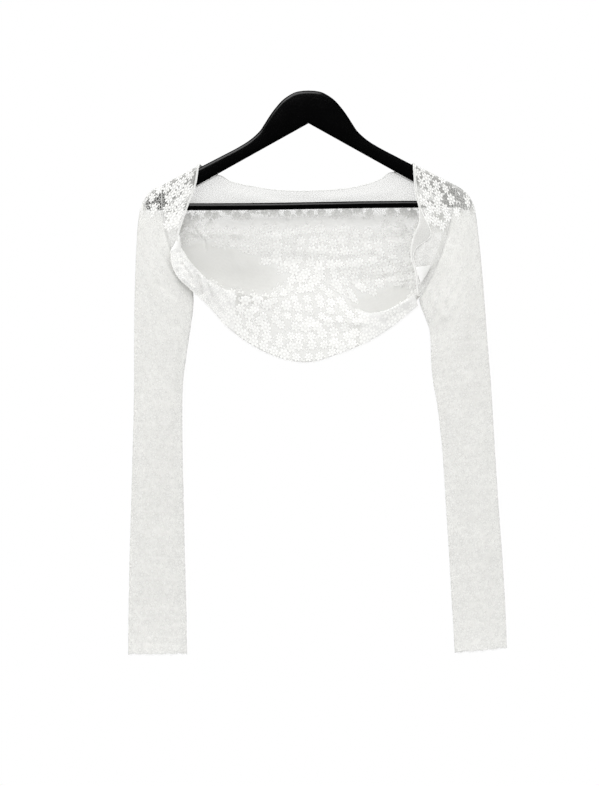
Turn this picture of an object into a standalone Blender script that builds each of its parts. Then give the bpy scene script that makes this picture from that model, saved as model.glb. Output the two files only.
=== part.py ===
"""Lace bolero hung on a flat wooden hanger with a trouser bar.

The front faces -Y, the width runs along X and the height along Z. The origin is the top of the
hanger's crest. Tables are in millimetres, in the frame of the part; MM turns them into metres.
The cloth is a thin wall through sections: sleeves are flat tubes, each front wraps over an arm of
the hanger, and the back panel hangs behind it and falls forward below as a soft roll.
"""

import math
from typing import NamedTuple

import bpy
import numpy as np

MM = 0.001
CLOTH_THICKNESS = 1.2
BAR_END_GAP = 0.3
FRONT_INSET = 0.7
BACK_INSET = 1.25

HANGER_THICKNESS = 12.0
HANGER_EDGE_ROUND = 5.0
ARM_LOWER_START = 44.5
ARM_LOWER_SLOPE = 0.557
ARM_LOWER_END = 212.0
APEX_HALF_WIDTH = 4.0
APEX_DROP = 2.0
BAR_DIAMETER = 9.6
BAR_HEIGHT = -155.0
BAR_DROP_PER_WIDTH = 0.010
BAR_SIDES = 20

SHOULDER_FOLD = 7.6
UNDERARM_FOLD = 4.0
TURNED_EDGE_WIDTH = 3.0
TURNED_EDGE_FOLD = 0.95
RIGHT_FLARE_WIDTH = 15.0
RIGHT_FLARE_PLACE = 0.6
RIGHT_FLARE_SPREAD = 0.09

SLEEVE_ROWS = 26
RING_SAMPLES = 12
DEPTH_SAMPLES = 24
FRONT_COLUMNS = 8
FRONT_ROWS = 14
SHOULDER_BACK_ROWS = 4
BODY_LEFT_COLUMNS = 24
BODY_MIDDLE_COLUMNS = 17
BODY_RIGHT_COLUMNS = 21


class Station(NamedTuple):
    """One point of an outline: distance across and height."""

    across: float
    height: float


class SleeveRow(NamedTuple):
    """One flat ring of a sleeve, from its inner fold at the body side to its outer fold.

    bow moves the ring's middle outward from the chord, and depth is half the tube's depth.
    """

    inner_x: float
    inner_z: float
    outer_x: float
    outer_z: float
    bow: float
    depth: float
    outer_fold: float


class BodyColumn(NamedTuple):
    """One strip of the back panel, from its neck edge down to the free hem.

    Each pair of values is the across and height of a level: the neck, the middle of the back, the
    low back, the trough where the cloth turns forward, the crest of the roll, and the hem.
    """

    neck_x: float
    neck_z: float
    middle_x: float
    middle_z: float
    low_x: float
    low_z: float
    trough_x: float
    trough_z: float
    roll_x: float
    roll_z: float
    hem_x: float
    hem_z: float


class BodyDepth(NamedTuple):
    """How far behind the hanger's middle each level of one back strip lies; the front is negative."""

    neck: float
    middle: float
    low: float
    trough: float
    roll: float
    hem: float


HANGER_TOP = (
    Station(0, 0),
    Station(11, -0.4),
    Station(21, -3),
    Station(34, -12),
    Station(45, -24),
    Station(53, -35),
    Station(60, -46),
    Station(67, -56),
    Station(80, -67.5),
    Station(97, -78),
    Station(118, -89),
    Station(146, -103.5),
    Station(167, -114.5),
    Station(193, -128),
    Station(209, -138),
    Station(217, -145),
    Station(220.5, -153),
    Station(219, -161),
)

LEFT_SLEEVE = (
    SleeveRow(-157, -270, -198, -128.2, 13, 9.5, 7.6),
    SleeveRow(-156.5, -272, -211, -134.5, 12, 10.5, 7.6),
    SleeveRow(-156, -275, -220.5, -144, 10, 11, 7.6),
    SleeveRow(-155.8, -279, -227, -158, 8, 11.5, 7.2),
    SleeveRow(-155.7, -284, -231, -182, 5.5, 12, 6.5),
    SleeveRow(-156, -292, -233, -214, 3, 12.5, 6),
    SleeveRow(-157.5, -306, -234.5, -252, 1, 13, 5.5),
    SleeveRow(-161, -330, -235.5, -296, 0, 13, 5),
    SleeveRow(-165.5, -360, -236, -342, 0, 12.5, 5),
    SleeveRow(-169.5, -392, -236, -386, 0, 12, 5),
    SleeveRow(-171, -430, -236.5, -430, 0, 12, 5),
    SleeveRow(-170.5, -490, -238, -490, 0, 11.5, 5),
    SleeveRow(-169, -560, -240, -560, 0, 11, 5),
    SleeveRow(-167.5, -630, -242, -630, 0, 11, 5),
    SleeveRow(-165.5, -700, -243.5, -700, 0, 11.5, 5),
    SleeveRow(-164.5, -761, -244, -762, 0, 12.5, 5),
)

RIGHT_SLEEVE = (
    SleeveRow(150, -283, 199, -128.2, 10, 9.5, 7.6),
    SleeveRow(150.5, -286, 211, -136, 9.5, 10.5, 7.6),
    SleeveRow(151.5, -290, 219, -146, 9, 11, 7.6),
    SleeveRow(153, -295, 225, -160, 8, 11.5, 7.2),
    SleeveRow(155.5, -301, 229, -188, 5.5, 12, 6.5),
    SleeveRow(159, -310, 232.5, -220, 3, 12.5, 6),
    SleeveRow(163.5, -323, 236, -258, 1, 13, 5.5),
    SleeveRow(165.5, -341, 239.5, -304, 0, 13, 5),
    SleeveRow(166, -366, 243, -350, 0, 12.5, 5),
    SleeveRow(169, -396, 246.5, -392, 0, 12, 5),
    SleeveRow(175, -430, 249, -432, 0, 12, 5),
    SleeveRow(181.5, -490, 252.5, -490, 0, 11.5, 5),
    SleeveRow(186, -560, 257, -560, 0, 11, 5),
    SleeveRow(190.5, -630, 262, -628, 0, 11, 5),
    SleeveRow(194.5, -700, 266, -694, 0, 11.5, 5),
    SleeveRow(198, -760, 268.5, -753, 0, 12.5, 5),
)

# Opening edge of each front, from the top of the arm down.
LEFT_EDGE = (
    Station(-147.5, -101.3),
    Station(-149.5, -107),
    Station(-152.5, -126),
    Station(-158, -143),
    Station(-165.5, -162),
    Station(-171.5, -180),
    Station(-176, -194),
    Station(-176, -204),
    Station(-172.5, -210.5),
)
RIGHT_EDGE = (
    Station(142, -100),
    Station(142.8, -113),
    Station(145.5, -143),
    Station(149.5, -158),
    Station(150, -180),
    Station(142.5, -198),
    Station(139, -224),
    Station(144.5, -246),
    Station(147.5, -276),
)

# Where each front ends on its armhole, as a share of the way up from the underarm.
LEFT_FRONT_END = 0.43
RIGHT_FRONT_END = 0.045
NECK_CORNER_LEFT = Station(-123.5, -113.6)
NECK_CORNER_RIGHT = Station(116.5, -109.8)
BACK_SEAM_HEIGHT = -151.2
BACK_SEAM_DEPTH = 8.6
FRONT_END_DEPTH = 10.5

BODY = (
    BodyColumn(-197.4, -154, -185, -217, -170, -249, -158.5, -266.5, -170.5, -215.5, -185.3, -219.5),
    BodyColumn(-172, -141, -164, -219, -156, -252, -145, -275, -160, -232, -183.5, -236),
    BodyColumn(-148, -128, -144, -221, -140, -255, -133, -281, -147.5, -246, -175, -254),
    BodyColumn(-123.5, -114.3, -125, -222, -124, -257, -122, -285, -132, -260, -160, -268),
    BodyColumn(-104, -123, -107, -225, -107, -259, -107, -288, -112, -270, -137, -290),
    BodyColumn(-76, -129, -78, -227, -79, -259, -80, -288, -81, -279, -102, -327),
    BodyColumn(-41, -134, -41, -225, -41, -253, -41, -277, -43, -287, -55, -356),
    BodyColumn(-1, -135, -1, -223, -1, -247, -1, -268, -1, -296, -3, -368),
    BodyColumn(40, -133, 38, -224, 39, -251, 40, -276, 40, -302, 48, -354),
    BodyColumn(72, -128, 70, -227, 72, -262, 75, -294, 75, -304, 86, -337),
    BodyColumn(97, -120, 94, -227, 97, -267, 102, -307, 102, -299, 114, -319),
    BodyColumn(116.5, -110.5, 116, -226, 117, -267, 121, -302, 121, -290, 131, -305),
    BodyColumn(156, -132, 147, -223, 139, -262, 135, -294, 134, -282, 141, -297),
    BodyColumn(196, -153.5, 178.5, -223, 164, -257, 152, -278, 144, -276.5, 148, -291.5),
)

BODY_DEPTH = (
    BodyDepth(8.6, 9.5, 8, 4.5, -11.5, -12.6),
    BodyDepth(8.6, 14, 14, 8, -12, -15.2),
    BodyDepth(8.6, 16, 17, 9.5, -12.5, -15.6),
    BodyDepth(8.6, 17.5, 19, 11, -13, -13.5),
    BodyDepth(9, 18, 20, 12, -13, -10),
    BodyDepth(9.5, 18, 20, 12, -10, -9),
    BodyDepth(10, 18, 18, 12, 0, -8),
    BodyDepth(10, 18, 17, 12, 4, -7),
    BodyDepth(10, 18, 18, 12, 0, -8),
    BodyDepth(9.5, 18, 20, 12, -9, -9),
    BodyDepth(9, 18, 20, 12, -12, -9.5),
    BodyDepth(8.6, 17, 19, 11, -11.5, -8.5),
    BodyDepth(8.6, 14.5, 15, 9, -9.5, -6.5),
    BodyDepth(8.6, 9.5, 8, 4.5, -7, -5.5),
)

# The strips are sampled more closely before the first of these columns and after the second.
CLOSE_COLUMNS = (4, 9)

# The neck edge shows between these columns; beyond them it is a straight seam to a front.
NECK_CORNER_COLUMNS = (3, 11)
BACK_SEAM_DROP = 0.6

# Where the levels of the back, from the neck to the trough, meet the armhole on its way down.
ARMHOLE_SHARES = (0.395, 0.165, 0.03)

# Samples between the levels of the back panel, from the neck down to the hem.
LEVEL_SAMPLES = (7, 3, 3, 5, 5)

# Gathers of the roll at the left underarm, and soft folds across the upper back.
GATHER_COUNT = 6
GATHER_REACH = 0.32
GATHER_HEIGHT = 0.9
BACK_FOLD_LEVELS = (0.42, 0.74)
BACK_FOLD_HEIGHTS = (2.4, -2.0)
BACK_FOLD_WIDTH = 0.13


def smooth_rows(rows, places):
    """Rows of a table read along a smooth curve at the given places, counted in rows from 0."""
    table = np.asarray(rows, dtype=float)
    first = 2 * table[0] - table[1]
    last = 2 * table[-1] - table[-2]
    padded = np.vstack([first, table, last])
    index = np.clip(np.floor(places).astype(int), 0, len(table) - 2)
    share = (np.asarray(places) - index)[:, None]
    before, start, end, after = (padded[index + step] for step in range(4))
    return 0.5 * (
        2 * start
        + (end - before) * share
        + (2 * before - 5 * start + 4 * end - after) * share**2
        + (3 * start - before - 3 * end + after) * share**3
    )


def make_material(name, colour, roughness):
    """A plain Principled material."""
    material = bpy.data.materials.new(name)
    material.use_nodes = True
    shader = material.node_tree.nodes["Principled BSDF"]
    shader.inputs["Base Color"].default_value = (*colour, 1.0)
    shader.inputs["Roughness"].default_value = roughness
    shader.inputs["Metallic"].default_value = 0.0
    material.diffuse_color = (*colour, 1.0)
    return material


def add_mesh(name, points, faces, material):
    """One closed mesh object with its faces pointing out."""
    mesh = bpy.data.meshes.new(name)
    mesh.from_pydata((points * MM).tolist(), [], faces)
    mesh.validate()
    mesh.materials.append(material)
    mesh.shade_smooth()
    thing = bpy.data.objects.new(name, mesh)
    bpy.context.scene.collection.objects.link(thing)
    return thing


def grid_normals(grid, closed):
    """Unit normals of a grid of points, with its second direction joined up where it is closed."""
    along = np.gradient(grid, axis=0)
    if closed:
        around = (np.roll(grid, -1, axis=1) - np.roll(grid, 1, axis=1)) / 2
    else:
        around = np.gradient(grid, axis=1)
    normals = np.cross(along, around)
    return normals / np.linalg.norm(normals, axis=2, keepdims=True)


def cloth_wall(name, grid, material, closed=False):
    """A wall of the cloth's thickness about a grid of points, open along its edges.

    A closed grid is a tube whose last column meets its first; its two ends stay open.
    """
    rows, columns = grid.shape[:2]
    offset = grid_normals(grid, closed) * CLOTH_THICKNESS / 2
    points = np.vstack([(grid + offset).reshape(-1, 3), (grid - offset).reshape(-1, 3)])
    back = rows * columns
    faces = []
    for row in range(rows - 1):
        for column in range(columns if closed else columns - 1):
            near = row * columns + column
            beside = row * columns + (column + 1) % columns
            quad = (near, near + columns, beside + columns, beside)
            faces.append(quad)
            faces.append(tuple(corner + back for corner in reversed(quad)))
    rim = []
    for column in range(columns if closed else columns - 1):
        following = (column + 1) % columns
        last = (rows - 1) * columns
        rim.append((following, column))
        rim.append((last + column, last + following))
    if not closed:
        for row in range(rows - 1):
            rim.append((row * columns, (row + 1) * columns))
            rim.append(((row + 2) * columns - 1, (row + 1) * columns - 1))
    faces.extend((end, start, start + back, end + back) for start, end in rim)
    return add_mesh(name, points, faces, material)


def sleeve_section(row):
    """One ring of a sleeve: round folds at both ends and a low bulge between them."""
    inner = np.array([row.inner_x, row.inner_z])
    outer = np.array([row.outer_x, row.outer_z])
    length = np.linalg.norm(outer - inner)
    shares, depths = face_of_sleeve(row, length, RING_SAMPLES)
    back = ring_points(row, shares, depths)
    front = ring_points(row, shares[::-1][1:-1], -depths[::-1][1:-1])
    return np.vstack([back, front])


def face_of_sleeve(row, length, samples):
    """Shares from the outer fold to the inner one, with the half depth at each, over one face."""
    turn = np.linspace(0, math.pi / 2, samples // 4 + 1)
    outer_reach = row.outer_fold * (1 - np.cos(turn))
    inner_reach = length - UNDERARM_FOLD * (1 - np.cos(turn[::-1]))
    middle = np.linspace(0, 1, samples // 2 + 1)[1:-1]
    across = row.outer_fold + (length - row.outer_fold - UNDERARM_FOLD) * middle
    reach = np.concatenate([outer_reach, across, inner_reach]) / length
    base = row.outer_fold + (UNDERARM_FOLD - row.outer_fold) * middle
    bulge = (row.depth - (row.outer_fold + UNDERARM_FOLD) / 2) * np.sin(math.pi * middle)
    depth = np.concatenate(
        [row.outer_fold * np.sin(turn), base + bulge, UNDERARM_FOLD * np.sin(turn[::-1])]
    )
    return 1 - reach, depth


def ring_points(row, shares, depths):
    """Points on a ring at shares from its inner fold, bowed outward, at the given depths."""
    inner = np.array([row.inner_x, row.inner_z])
    outer = np.array([row.outer_x, row.outer_z])
    chord = outer - inner
    outward = np.array([-chord[1], chord[0]]) / np.linalg.norm(chord)
    if outward[0] * row.outer_x < 0:
        outward = -outward
    shares = np.asarray(shares)
    flat = inner + shares[:, None] * chord + 4 * row.bow * (shares * (1 - shares))[:, None] * outward
    return np.column_stack([flat[:, 0], np.broadcast_to(depths, shares.shape), flat[:, 1]])


def make_sleeve(name, table, material):
    """A sleeve as a flat tube through its rings, from the armhole down to the open cuff."""
    places = np.linspace(0, len(table) - 1, SLEEVE_ROWS)
    rows = [SleeveRow(*values) for values in smooth_rows(table, places)]
    grid = np.stack([sleeve_section(row) for row in rows])
    return cloth_wall(name, grid, material, closed=True)


def armhole_path(row, shares, inset):
    """Points of a sleeve's armhole in the plane of the front, and half its depth at each.

    Shares count up from the underarm. The points are moved to the body side by the inset, which
    leaves the seam's gap between two walls that meet at a slant.
    """
    length = math.hypot(row.outer_x - row.inner_x, row.outer_z - row.inner_z)
    places, depths = face_of_sleeve(row, length, DEPTH_SAMPLES)
    depth = np.interp(shares, places[::-1], depths[::-1])
    path = ring_points(row, shares, 0.0)[:, [0, 2]]
    way = np.gradient(path, axis=0)
    inboard = np.column_stack([way[:, 1], -way[:, 0]]) / np.linalg.norm(way, axis=1)[:, None]
    inboard *= np.sign(-row.outer_x * inboard[:, :1])
    return path + inboard * inset, depth


def over_arm_depth(reach, end_depth, length):
    """Half depth of cloth folded over an arm, growing from the fold to end_depth at length."""
    low = np.clip(reach, 0, SHOULDER_FOLD)
    fold = np.sqrt(SHOULDER_FOLD**2 - (SHOULDER_FOLD - low) ** 2)
    beyond = np.clip((reach - SHOULDER_FOLD) / (length - SHOULDER_FOLD), 0, 1)
    return fold + (end_depth - SHOULDER_FOLD) * beyond * beyond * (3 - 2 * beyond)


def front_face(armhole, edge, end_depth, across):
    """One face of a front: rows from the fold over the arm down, columns from armhole to edge."""
    outer, outer_depth = armhole
    flat = outer[:, None] * (1 - across)[None, :, None] + edge[:, None] * across[None, :, None]
    steps = np.linalg.norm(np.diff(edge, axis=0), axis=1)
    reach = np.concatenate([[0.0], np.cumsum(steps)])
    edge_depth = over_arm_depth(reach, end_depth, reach[-1])
    depth = outer_depth[:, None] * (1 - across) + edge_depth[:, None] * across
    return np.dstack([flat[:, :, 0], depth, flat[:, :, 1]])


def with_turned_edge(panel, turned):
    """The panel with its opening edge folded back on the outside, as wide as turned at each row."""
    normals = grid_normals(panel, False)[:, -1]
    middle = len(panel) // 3
    normals *= np.sign(-normals[middle, 1])
    edge = panel[:, -1]
    back_way = panel[:, 0] - edge
    back_way = back_way / np.linalg.norm(back_way, axis=1, keepdims=True)
    columns = []
    for angle in (math.pi / 3, 2 * math.pi / 3, math.pi):
        rise = TURNED_EDGE_FOLD * (1 - math.cos(angle))
        beyond = TURNED_EDGE_FOLD * math.sin(angle)
        columns.append(edge + normals * rise - back_way * beyond)
    for share in (0.5, 1.0):
        columns.append(edge + normals * 2 * TURNED_EDGE_FOLD + back_way * (turned * share)[:, None])
    return np.concatenate([panel, np.stack(columns, axis=1)], axis=1)


def fold_shares(length, samples):
    """Shares of a length that step round the fold over the arm, then go down in even steps."""
    turn = np.linspace(0, math.pi / 2, 4)
    fold = SHOULDER_FOLD * (1 - np.cos(turn)) / length
    return np.concatenate([fold, np.linspace(fold[-1], 1, samples)[1:]])


def make_front(name, armhole_row, edge_table, end_share, corner, flare, material):
    """A front: up its face from the lower end, over the arm, and down behind to the back seam."""
    across = np.linspace(0, 1, FRONT_COLUMNS)
    top = np.asarray(edge_table[0])
    front_length = np.linalg.norm(np.diff(np.asarray(edge_table), axis=0), axis=1).sum()
    shares = fold_shares(front_length, FRONT_ROWS)
    armhole = armhole_path(armhole_row, 1 - shares * (1 - end_share), FRONT_INSET)
    edge = smooth_rows(edge_table, shares * (len(edge_table) - 1))
    front = front_face(armhole, edge, FRONT_END_DEPTH, across) * np.array([1, -1, 1])
    turned = TURNED_EDGE_WIDTH + flare(shares)

    shares = fold_shares(np.linalg.norm(np.asarray(corner) - top), SHOULDER_BACK_ROWS)
    armhole = armhole_path(armhole_row, 1 - shares * seam_drop(armhole_row), FRONT_INSET)
    edge = top + shares[:, None] * (np.asarray(corner) - top)
    behind = front_face(armhole, edge, BACK_SEAM_DEPTH, across)
    panel = np.concatenate([front[::-1], behind[1:]])
    turned = np.concatenate([turned[::-1], np.full(len(behind) - 1, TURNED_EDGE_WIDTH)])
    return cloth_wall(name, with_turned_edge(panel, turned), material)


def no_flare(shares):
    """A turned edge of even width."""
    return np.zeros(len(shares))


def right_flare(shares):
    """The right front's edge turns back widest a little below the trouser bar."""
    return RIGHT_FLARE_WIDTH * np.exp(-(((shares - RIGHT_FLARE_PLACE) / RIGHT_FLARE_SPREAD) ** 2))


def neck_seam(places, columns, corner, armhole_row):
    """Across and height of the straight seam to a front, from the neck corner to the armhole."""
    share = 1 - seam_drop(armhole_row)
    end = armhole_path(armhole_row, share + np.array([-0.02, 0.0, 0.02]), FRONT_INSET)[0][1]
    along = np.abs(places - columns[0]) / abs(columns[1] - columns[0])
    seam = np.asarray(corner) + along[:, None] * (end - np.asarray(corner))
    return seam - np.array([0.0, BACK_SEAM_DROP])


def seam_drop(armhole_row):
    """Share of the armhole's height between the arm's top and the back seam."""
    return (armhole_row.outer_z - BACK_SEAM_HEIGHT) / (armhole_row.outer_z - armhole_row.inner_z)


def follow_armhole(grid, places, heights, end, armhole_row):
    """Moves the strips near one end of the back so that the last one runs along the armhole."""
    levels = np.interp(heights, range(4), (1 - seam_drop(armhole_row), *ARMHOLE_SHARES))
    back = heights <= 3
    path, depth = armhole_path(armhole_row, levels[back], BACK_INSET)
    edge = np.column_stack([path[:, 0], depth, path[:, 1]])
    edge[:, 2] -= BACK_SEAM_DROP * np.clip(1 - heights[back], 0, 1)
    near = np.clip(1 - np.abs(places - end), 0, 1) ** 2
    column = int(np.argmax(near))
    change = edge - grid[back, column]
    grid[back] += change[:, None, :] * near[None, :, None]


def body_grid():
    """Points of the back panel: rows from the neck edge to the hem, columns from left to right."""
    last = len(BODY) - 1
    left_end, right_start = CLOSE_COLUMNS
    places = np.concatenate(
        [
            np.linspace(0, left_end, BODY_LEFT_COLUMNS)[:-1],
            np.linspace(left_end, right_start, BODY_MIDDLE_COLUMNS)[:-1],
            np.linspace(right_start, last, BODY_RIGHT_COLUMNS),
        ]
    )
    flat = smooth_rows(BODY, places).reshape(len(places), 6, 2)
    left_corner, right_corner = NECK_CORNER_COLUMNS
    left = places < left_corner
    right = places > right_corner
    flat[left, 0] = neck_seam(places[left], (left_corner, 0), NECK_CORNER_LEFT, LEFT_SLEEVE[0])
    flat[right, 0] = neck_seam(places[right], (right_corner, last), NECK_CORNER_RIGHT, RIGHT_SLEEVE[0])
    depth = smooth_rows(BODY_DEPTH, places)
    levels = np.dstack([flat[:, :, 0], depth, flat[:, :, 1]])
    steps = [np.arange(count) / count + level for level, count in enumerate(LEVEL_SAMPLES)]
    heights = np.concatenate([*steps, [float(len(LEVEL_SAMPLES))]])
    strips = [smooth_rows(strip, heights) for strip in levels]
    grid = np.stack(strips, axis=1)
    add_back_folds(grid, places, heights)
    add_gathers(grid, heights)
    follow_armhole(grid, places, heights, 0, LEFT_SLEEVE[0])
    follow_armhole(grid, places, heights, last, RIGHT_SLEEVE[0])
    return grid


def add_back_folds(grid, places, heights):
    """Soft folds across the upper back, fading towards the armholes."""
    middle = np.sin(math.pi * np.clip((places - 1) / 11, 0, 1)) ** 0.5
    for level, height in zip(BACK_FOLD_LEVELS, BACK_FOLD_HEIGHTS):
        fold = height * np.exp(-(((heights - level) / BACK_FOLD_WIDTH) ** 2))
        grid[:, :, 1] += fold[:, None] * middle[None, :]


def add_gathers(grid, heights):
    """Small gathers of the roll beside the left underarm, growing towards the hem."""
    across = np.linspace(0, 1, grid.shape[1])
    strength = np.clip(1 - across / GATHER_REACH, 0, 1)
    wave = 1 + np.sin(2 * math.pi * GATHER_COUNT * across / GATHER_REACH)
    growth = np.clip((heights - 4.0) / 0.5, 0, 1)
    grid[:, :, 1] -= GATHER_HEIGHT * growth[:, None] * (strength * wave)[None, :]


def hanger_outline():
    """Closed outline of the hanger: over the crest from tip to tip, and back under the arms."""
    right = np.asarray(HANGER_TOP, dtype=float)
    left = right[::-1][:-1] * np.array([-1, 1])
    under_end = [ARM_LOWER_END, -ARM_LOWER_START - ARM_LOWER_SLOPE * ARM_LOWER_END]
    apex_side = [APEX_HALF_WIDTH, -ARM_LOWER_START - APEX_DROP]
    under = np.array([under_end, apex_side, [0.0, -ARM_LOWER_START]])
    under_left = under[:-1][::-1] * np.array([-1, 1])
    return np.vstack([left, right, under, under_left])


def make_hanger(material):
    """The flat hanger: its outline thickened and rounded along every edge, standing upright."""
    outline = hanger_outline()
    curve = bpy.data.curves.new("hanger_frame", "CURVE")
    curve.dimensions = "2D"
    curve.fill_mode = "BOTH"
    curve.extrude = (HANGER_THICKNESS / 2 - HANGER_EDGE_ROUND) * MM
    curve.bevel_depth = HANGER_EDGE_ROUND * MM
    curve.bevel_resolution = 2
    curve.offset = -HANGER_EDGE_ROUND * MM
    spline = curve.splines.new("POLY")
    spline.points.add(len(outline) - 1)
    for point, (across, height) in zip(spline.points, outline):
        point.co = (across * MM, height * MM, 0.0, 1.0)
    spline.use_cyclic_u = True
    curve.materials.append(material)
    thing = bpy.data.objects.new("hanger_frame", curve)
    thing.rotation_euler = (math.pi / 2, 0.0, 0.0)
    bpy.context.scene.collection.objects.link(thing)


def make_bar(material):
    """The round trouser bar, cut at each end along the arm's lower edge that carries it."""
    turn = np.linspace(0, 2 * math.pi, BAR_SIDES, endpoint=False)
    rise = BAR_DIAMETER / 2 * np.sin(turn)
    depth = BAR_DIAMETER / 2 * np.cos(turn)
    ends = []
    for side in (-1, 1):
        centre = BAR_HEIGHT + side * BAR_DROP_PER_WIDTH * ARM_LOWER_END
        height = centre + rise
        arm = (-ARM_LOWER_START - height) / ARM_LOWER_SLOPE
        across = side * (arm - BAR_END_GAP / ARM_LOWER_SLOPE * math.hypot(1, ARM_LOWER_SLOPE))
        ends.append(np.column_stack([across, depth, height]))
    faces = [tuple(reversed(range(BAR_SIDES))), tuple(range(BAR_SIDES, 2 * BAR_SIDES))]
    for step in range(BAR_SIDES):
        beside = (step + 1) % BAR_SIDES
        faces.append((step, beside, beside + BAR_SIDES, step + BAR_SIDES))
    add_mesh("trouser_bar", np.vstack(ends), faces, material)


def main():
    for thing in list(bpy.data.objects):
        bpy.data.objects.remove(thing, do_unlink=True)
    lace = make_material("white_lace", (0.86, 0.86, 0.84), 0.85)
    wood = make_material("black_wood", (0.012, 0.012, 0.013), 0.32)
    make_hanger(wood)
    make_bar(wood)
    make_sleeve("sleeve_left", LEFT_SLEEVE, lace)
    make_sleeve("sleeve_right", RIGHT_SLEEVE, lace)
    make_front(
        "front_left", LEFT_SLEEVE[0], LEFT_EDGE, LEFT_FRONT_END, NECK_CORNER_LEFT, no_flare, lace
    )
    make_front(
        "front_right", RIGHT_SLEEVE[0], RIGHT_EDGE, RIGHT_FRONT_END, NECK_CORNER_RIGHT, right_flare, lace
    )
    cloth_wall("back_panel", body_grid(), lace)


main()
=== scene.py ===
"""Looks of a lace bolero hung on a flat black hanger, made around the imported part.

The front faces -Y, the width runs along X and the height along Z. Tables are in millimetres in the
frame of the part, and MM turns them into metres. Every cloth piece is a Surface, a grid of points
that is a smooth curve through a table in both directions; the lace motifs are mapped onto it.
"""

import logging
import math
from collections.abc import Callable
from dataclasses import dataclass, field
from enum import Enum
from typing import NamedTuple

import bpy
import numpy as np
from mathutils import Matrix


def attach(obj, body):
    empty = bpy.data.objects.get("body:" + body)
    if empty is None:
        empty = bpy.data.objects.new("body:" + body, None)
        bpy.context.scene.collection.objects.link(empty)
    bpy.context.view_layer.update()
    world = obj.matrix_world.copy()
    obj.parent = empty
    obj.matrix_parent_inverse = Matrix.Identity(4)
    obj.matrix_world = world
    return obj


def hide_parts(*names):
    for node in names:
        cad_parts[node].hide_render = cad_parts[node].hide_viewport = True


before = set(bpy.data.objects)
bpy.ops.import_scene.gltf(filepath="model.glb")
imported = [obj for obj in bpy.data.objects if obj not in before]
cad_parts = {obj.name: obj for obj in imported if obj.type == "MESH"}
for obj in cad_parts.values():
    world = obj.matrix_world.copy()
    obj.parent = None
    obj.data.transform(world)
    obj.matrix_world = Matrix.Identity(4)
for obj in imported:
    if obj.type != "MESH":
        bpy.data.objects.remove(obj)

LOG = logging.getLogger("bolero")
MM = 0.001
BODY_NAME = "root"
UV_NAME = "cloth"
SOLID_NAME = "solid"
HOLES_NAME = "holes"


class Side(Enum):
    """The side of the picture that a piece is on."""

    LEFT = -1
    RIGHT = 1


class Slot(Enum):
    """The record's material slots."""

    LACE = "lace"
    WOOD = "black_wood"


class Station(NamedTuple):
    """One point of an outline: distance across and height."""

    across: float
    height: float


class SleeveRow(NamedTuple):
    """One flat ring of a sleeve, from its inner fold at the body side to its outer fold."""

    inner_x: float
    inner_z: float
    outer_x: float
    outer_z: float
    bow: float
    depth: float
    outer_fold: float


class PlainShadedSpot(NamedTuple):
    """An oval of the back, seen from the front, where the lace lies flat, shows no raised flowers, and is
    darkened as painted shade by a closer net with its holes shut.
    """

    centre_x: float
    centre_z: float
    reach_x: float
    reach_z: float
    lean: float
    # How closely the net is worked in the oval: the closer net darkens it, painted shade.
    cover: float

    def far(self, points: np.ndarray) -> np.ndarray:
        """Distance from the oval's middle, 1 at its rim; the oval rises across by its lean."""
        across = points[..., 0] - self.centre_x
        up = points[..., 2] - self.centre_z - self.lean * across
        return np.hypot(across / self.reach_x, up / self.reach_z)

    def inside(self, points: np.ndarray) -> np.ndarray:
        """A share that is 1 up to 0.8 of the oval's reach and fades to 0 at 1.3 of it."""
        return np.clip(2.6 - 2 * self.far(points), 0, 1)


class HoleSpot(NamedTuple):
    """A shoulder tip where the ground's little holes are open, as a bell curve around its middle."""

    centre_x: float
    centre_z: float
    reach_x: float
    reach_z: float
    share: float


class Crease(NamedTuple):
    """A soft ridge between two places in the plane of the front; a trough has a negative height."""

    start_x: float
    start_z: float
    end_x: float
    end_z: float
    width: float
    height: float


def records(kind: type, *rows: tuple[float, ...]) -> tuple:
    """The rows of a table, each as one record of the given kind."""
    return tuple(kind(*row) for row in rows)


LEFT_SLEEVE = records(
    SleeveRow,
    (-157, -270, -198, -128.2, 13, 9.5, 7.6),
    (-156.5, -272, -211, -134.5, 12, 10.5, 7.6),
    (-156, -275, -220.5, -144, 10, 11, 7.6),
    (-155.8, -279, -227, -158, 8, 11.5, 7.2),
    (-155.7, -284, -231, -182, 5.5, 12, 6.5),
    (-156, -292, -233, -214, 3, 12.5, 6),
    (-157.5, -306, -234.5, -252, 1, 13, 5.5),
    (-161, -330, -235.5, -296, 0, 13, 5),
    (-165.5, -360, -236, -342, 0, 12.5, 5),
    (-169.5, -392, -236, -386, 0, 12, 5),
    (-171, -430, -236.5, -430, 0, 12, 5),
    (-170.5, -490, -238, -490, 0, 11.5, 5),
    (-169, -560, -240, -560, 0, 11, 5),
    (-167.5, -630, -242, -630, 0, 11, 5),
    (-165.5, -700, -243.5, -700, 0, 11.5, 5),
    (-164.5, -761, -244, -762, 0, 12.5, 5),
)
RIGHT_SLEEVE = records(
    SleeveRow,
    (150, -283, 199, -128.2, 10, 9.5, 7.6),
    (150.5, -286, 211, -136, 9.5, 10.5, 7.6),
    (151.5, -290, 219, -146, 9, 11, 7.6),
    (153, -295, 225, -160, 8, 11.5, 7.2),
    (155.5, -301, 229, -188, 5.5, 12, 6.5),
    (159, -310, 232.5, -220, 3, 12.5, 6),
    (163.5, -323, 236, -258, 1, 13, 5.5),
    (165.5, -341, 239.5, -304, 0, 13, 5),
    (166, -366, 243, -350, 0, 12.5, 5),
    (169, -396, 246.5, -392, 0, 12, 5),
    (175, -430, 249, -432, 0, 12, 5),
    (181.5, -490, 252.5, -490, 0, 11.5, 5),
    (186, -560, 257, -560, 0, 11, 5),
    (190.5, -630, 262, -628, 0, 11, 5),
    (194.5, -700, 266, -694, 0, 11.5, 5),
    (198, -760, 268.5, -753, 0, 12.5, 5),
)
SLEEVES = {Side.LEFT: LEFT_SLEEVE, Side.RIGHT: RIGHT_SLEEVE}

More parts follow.
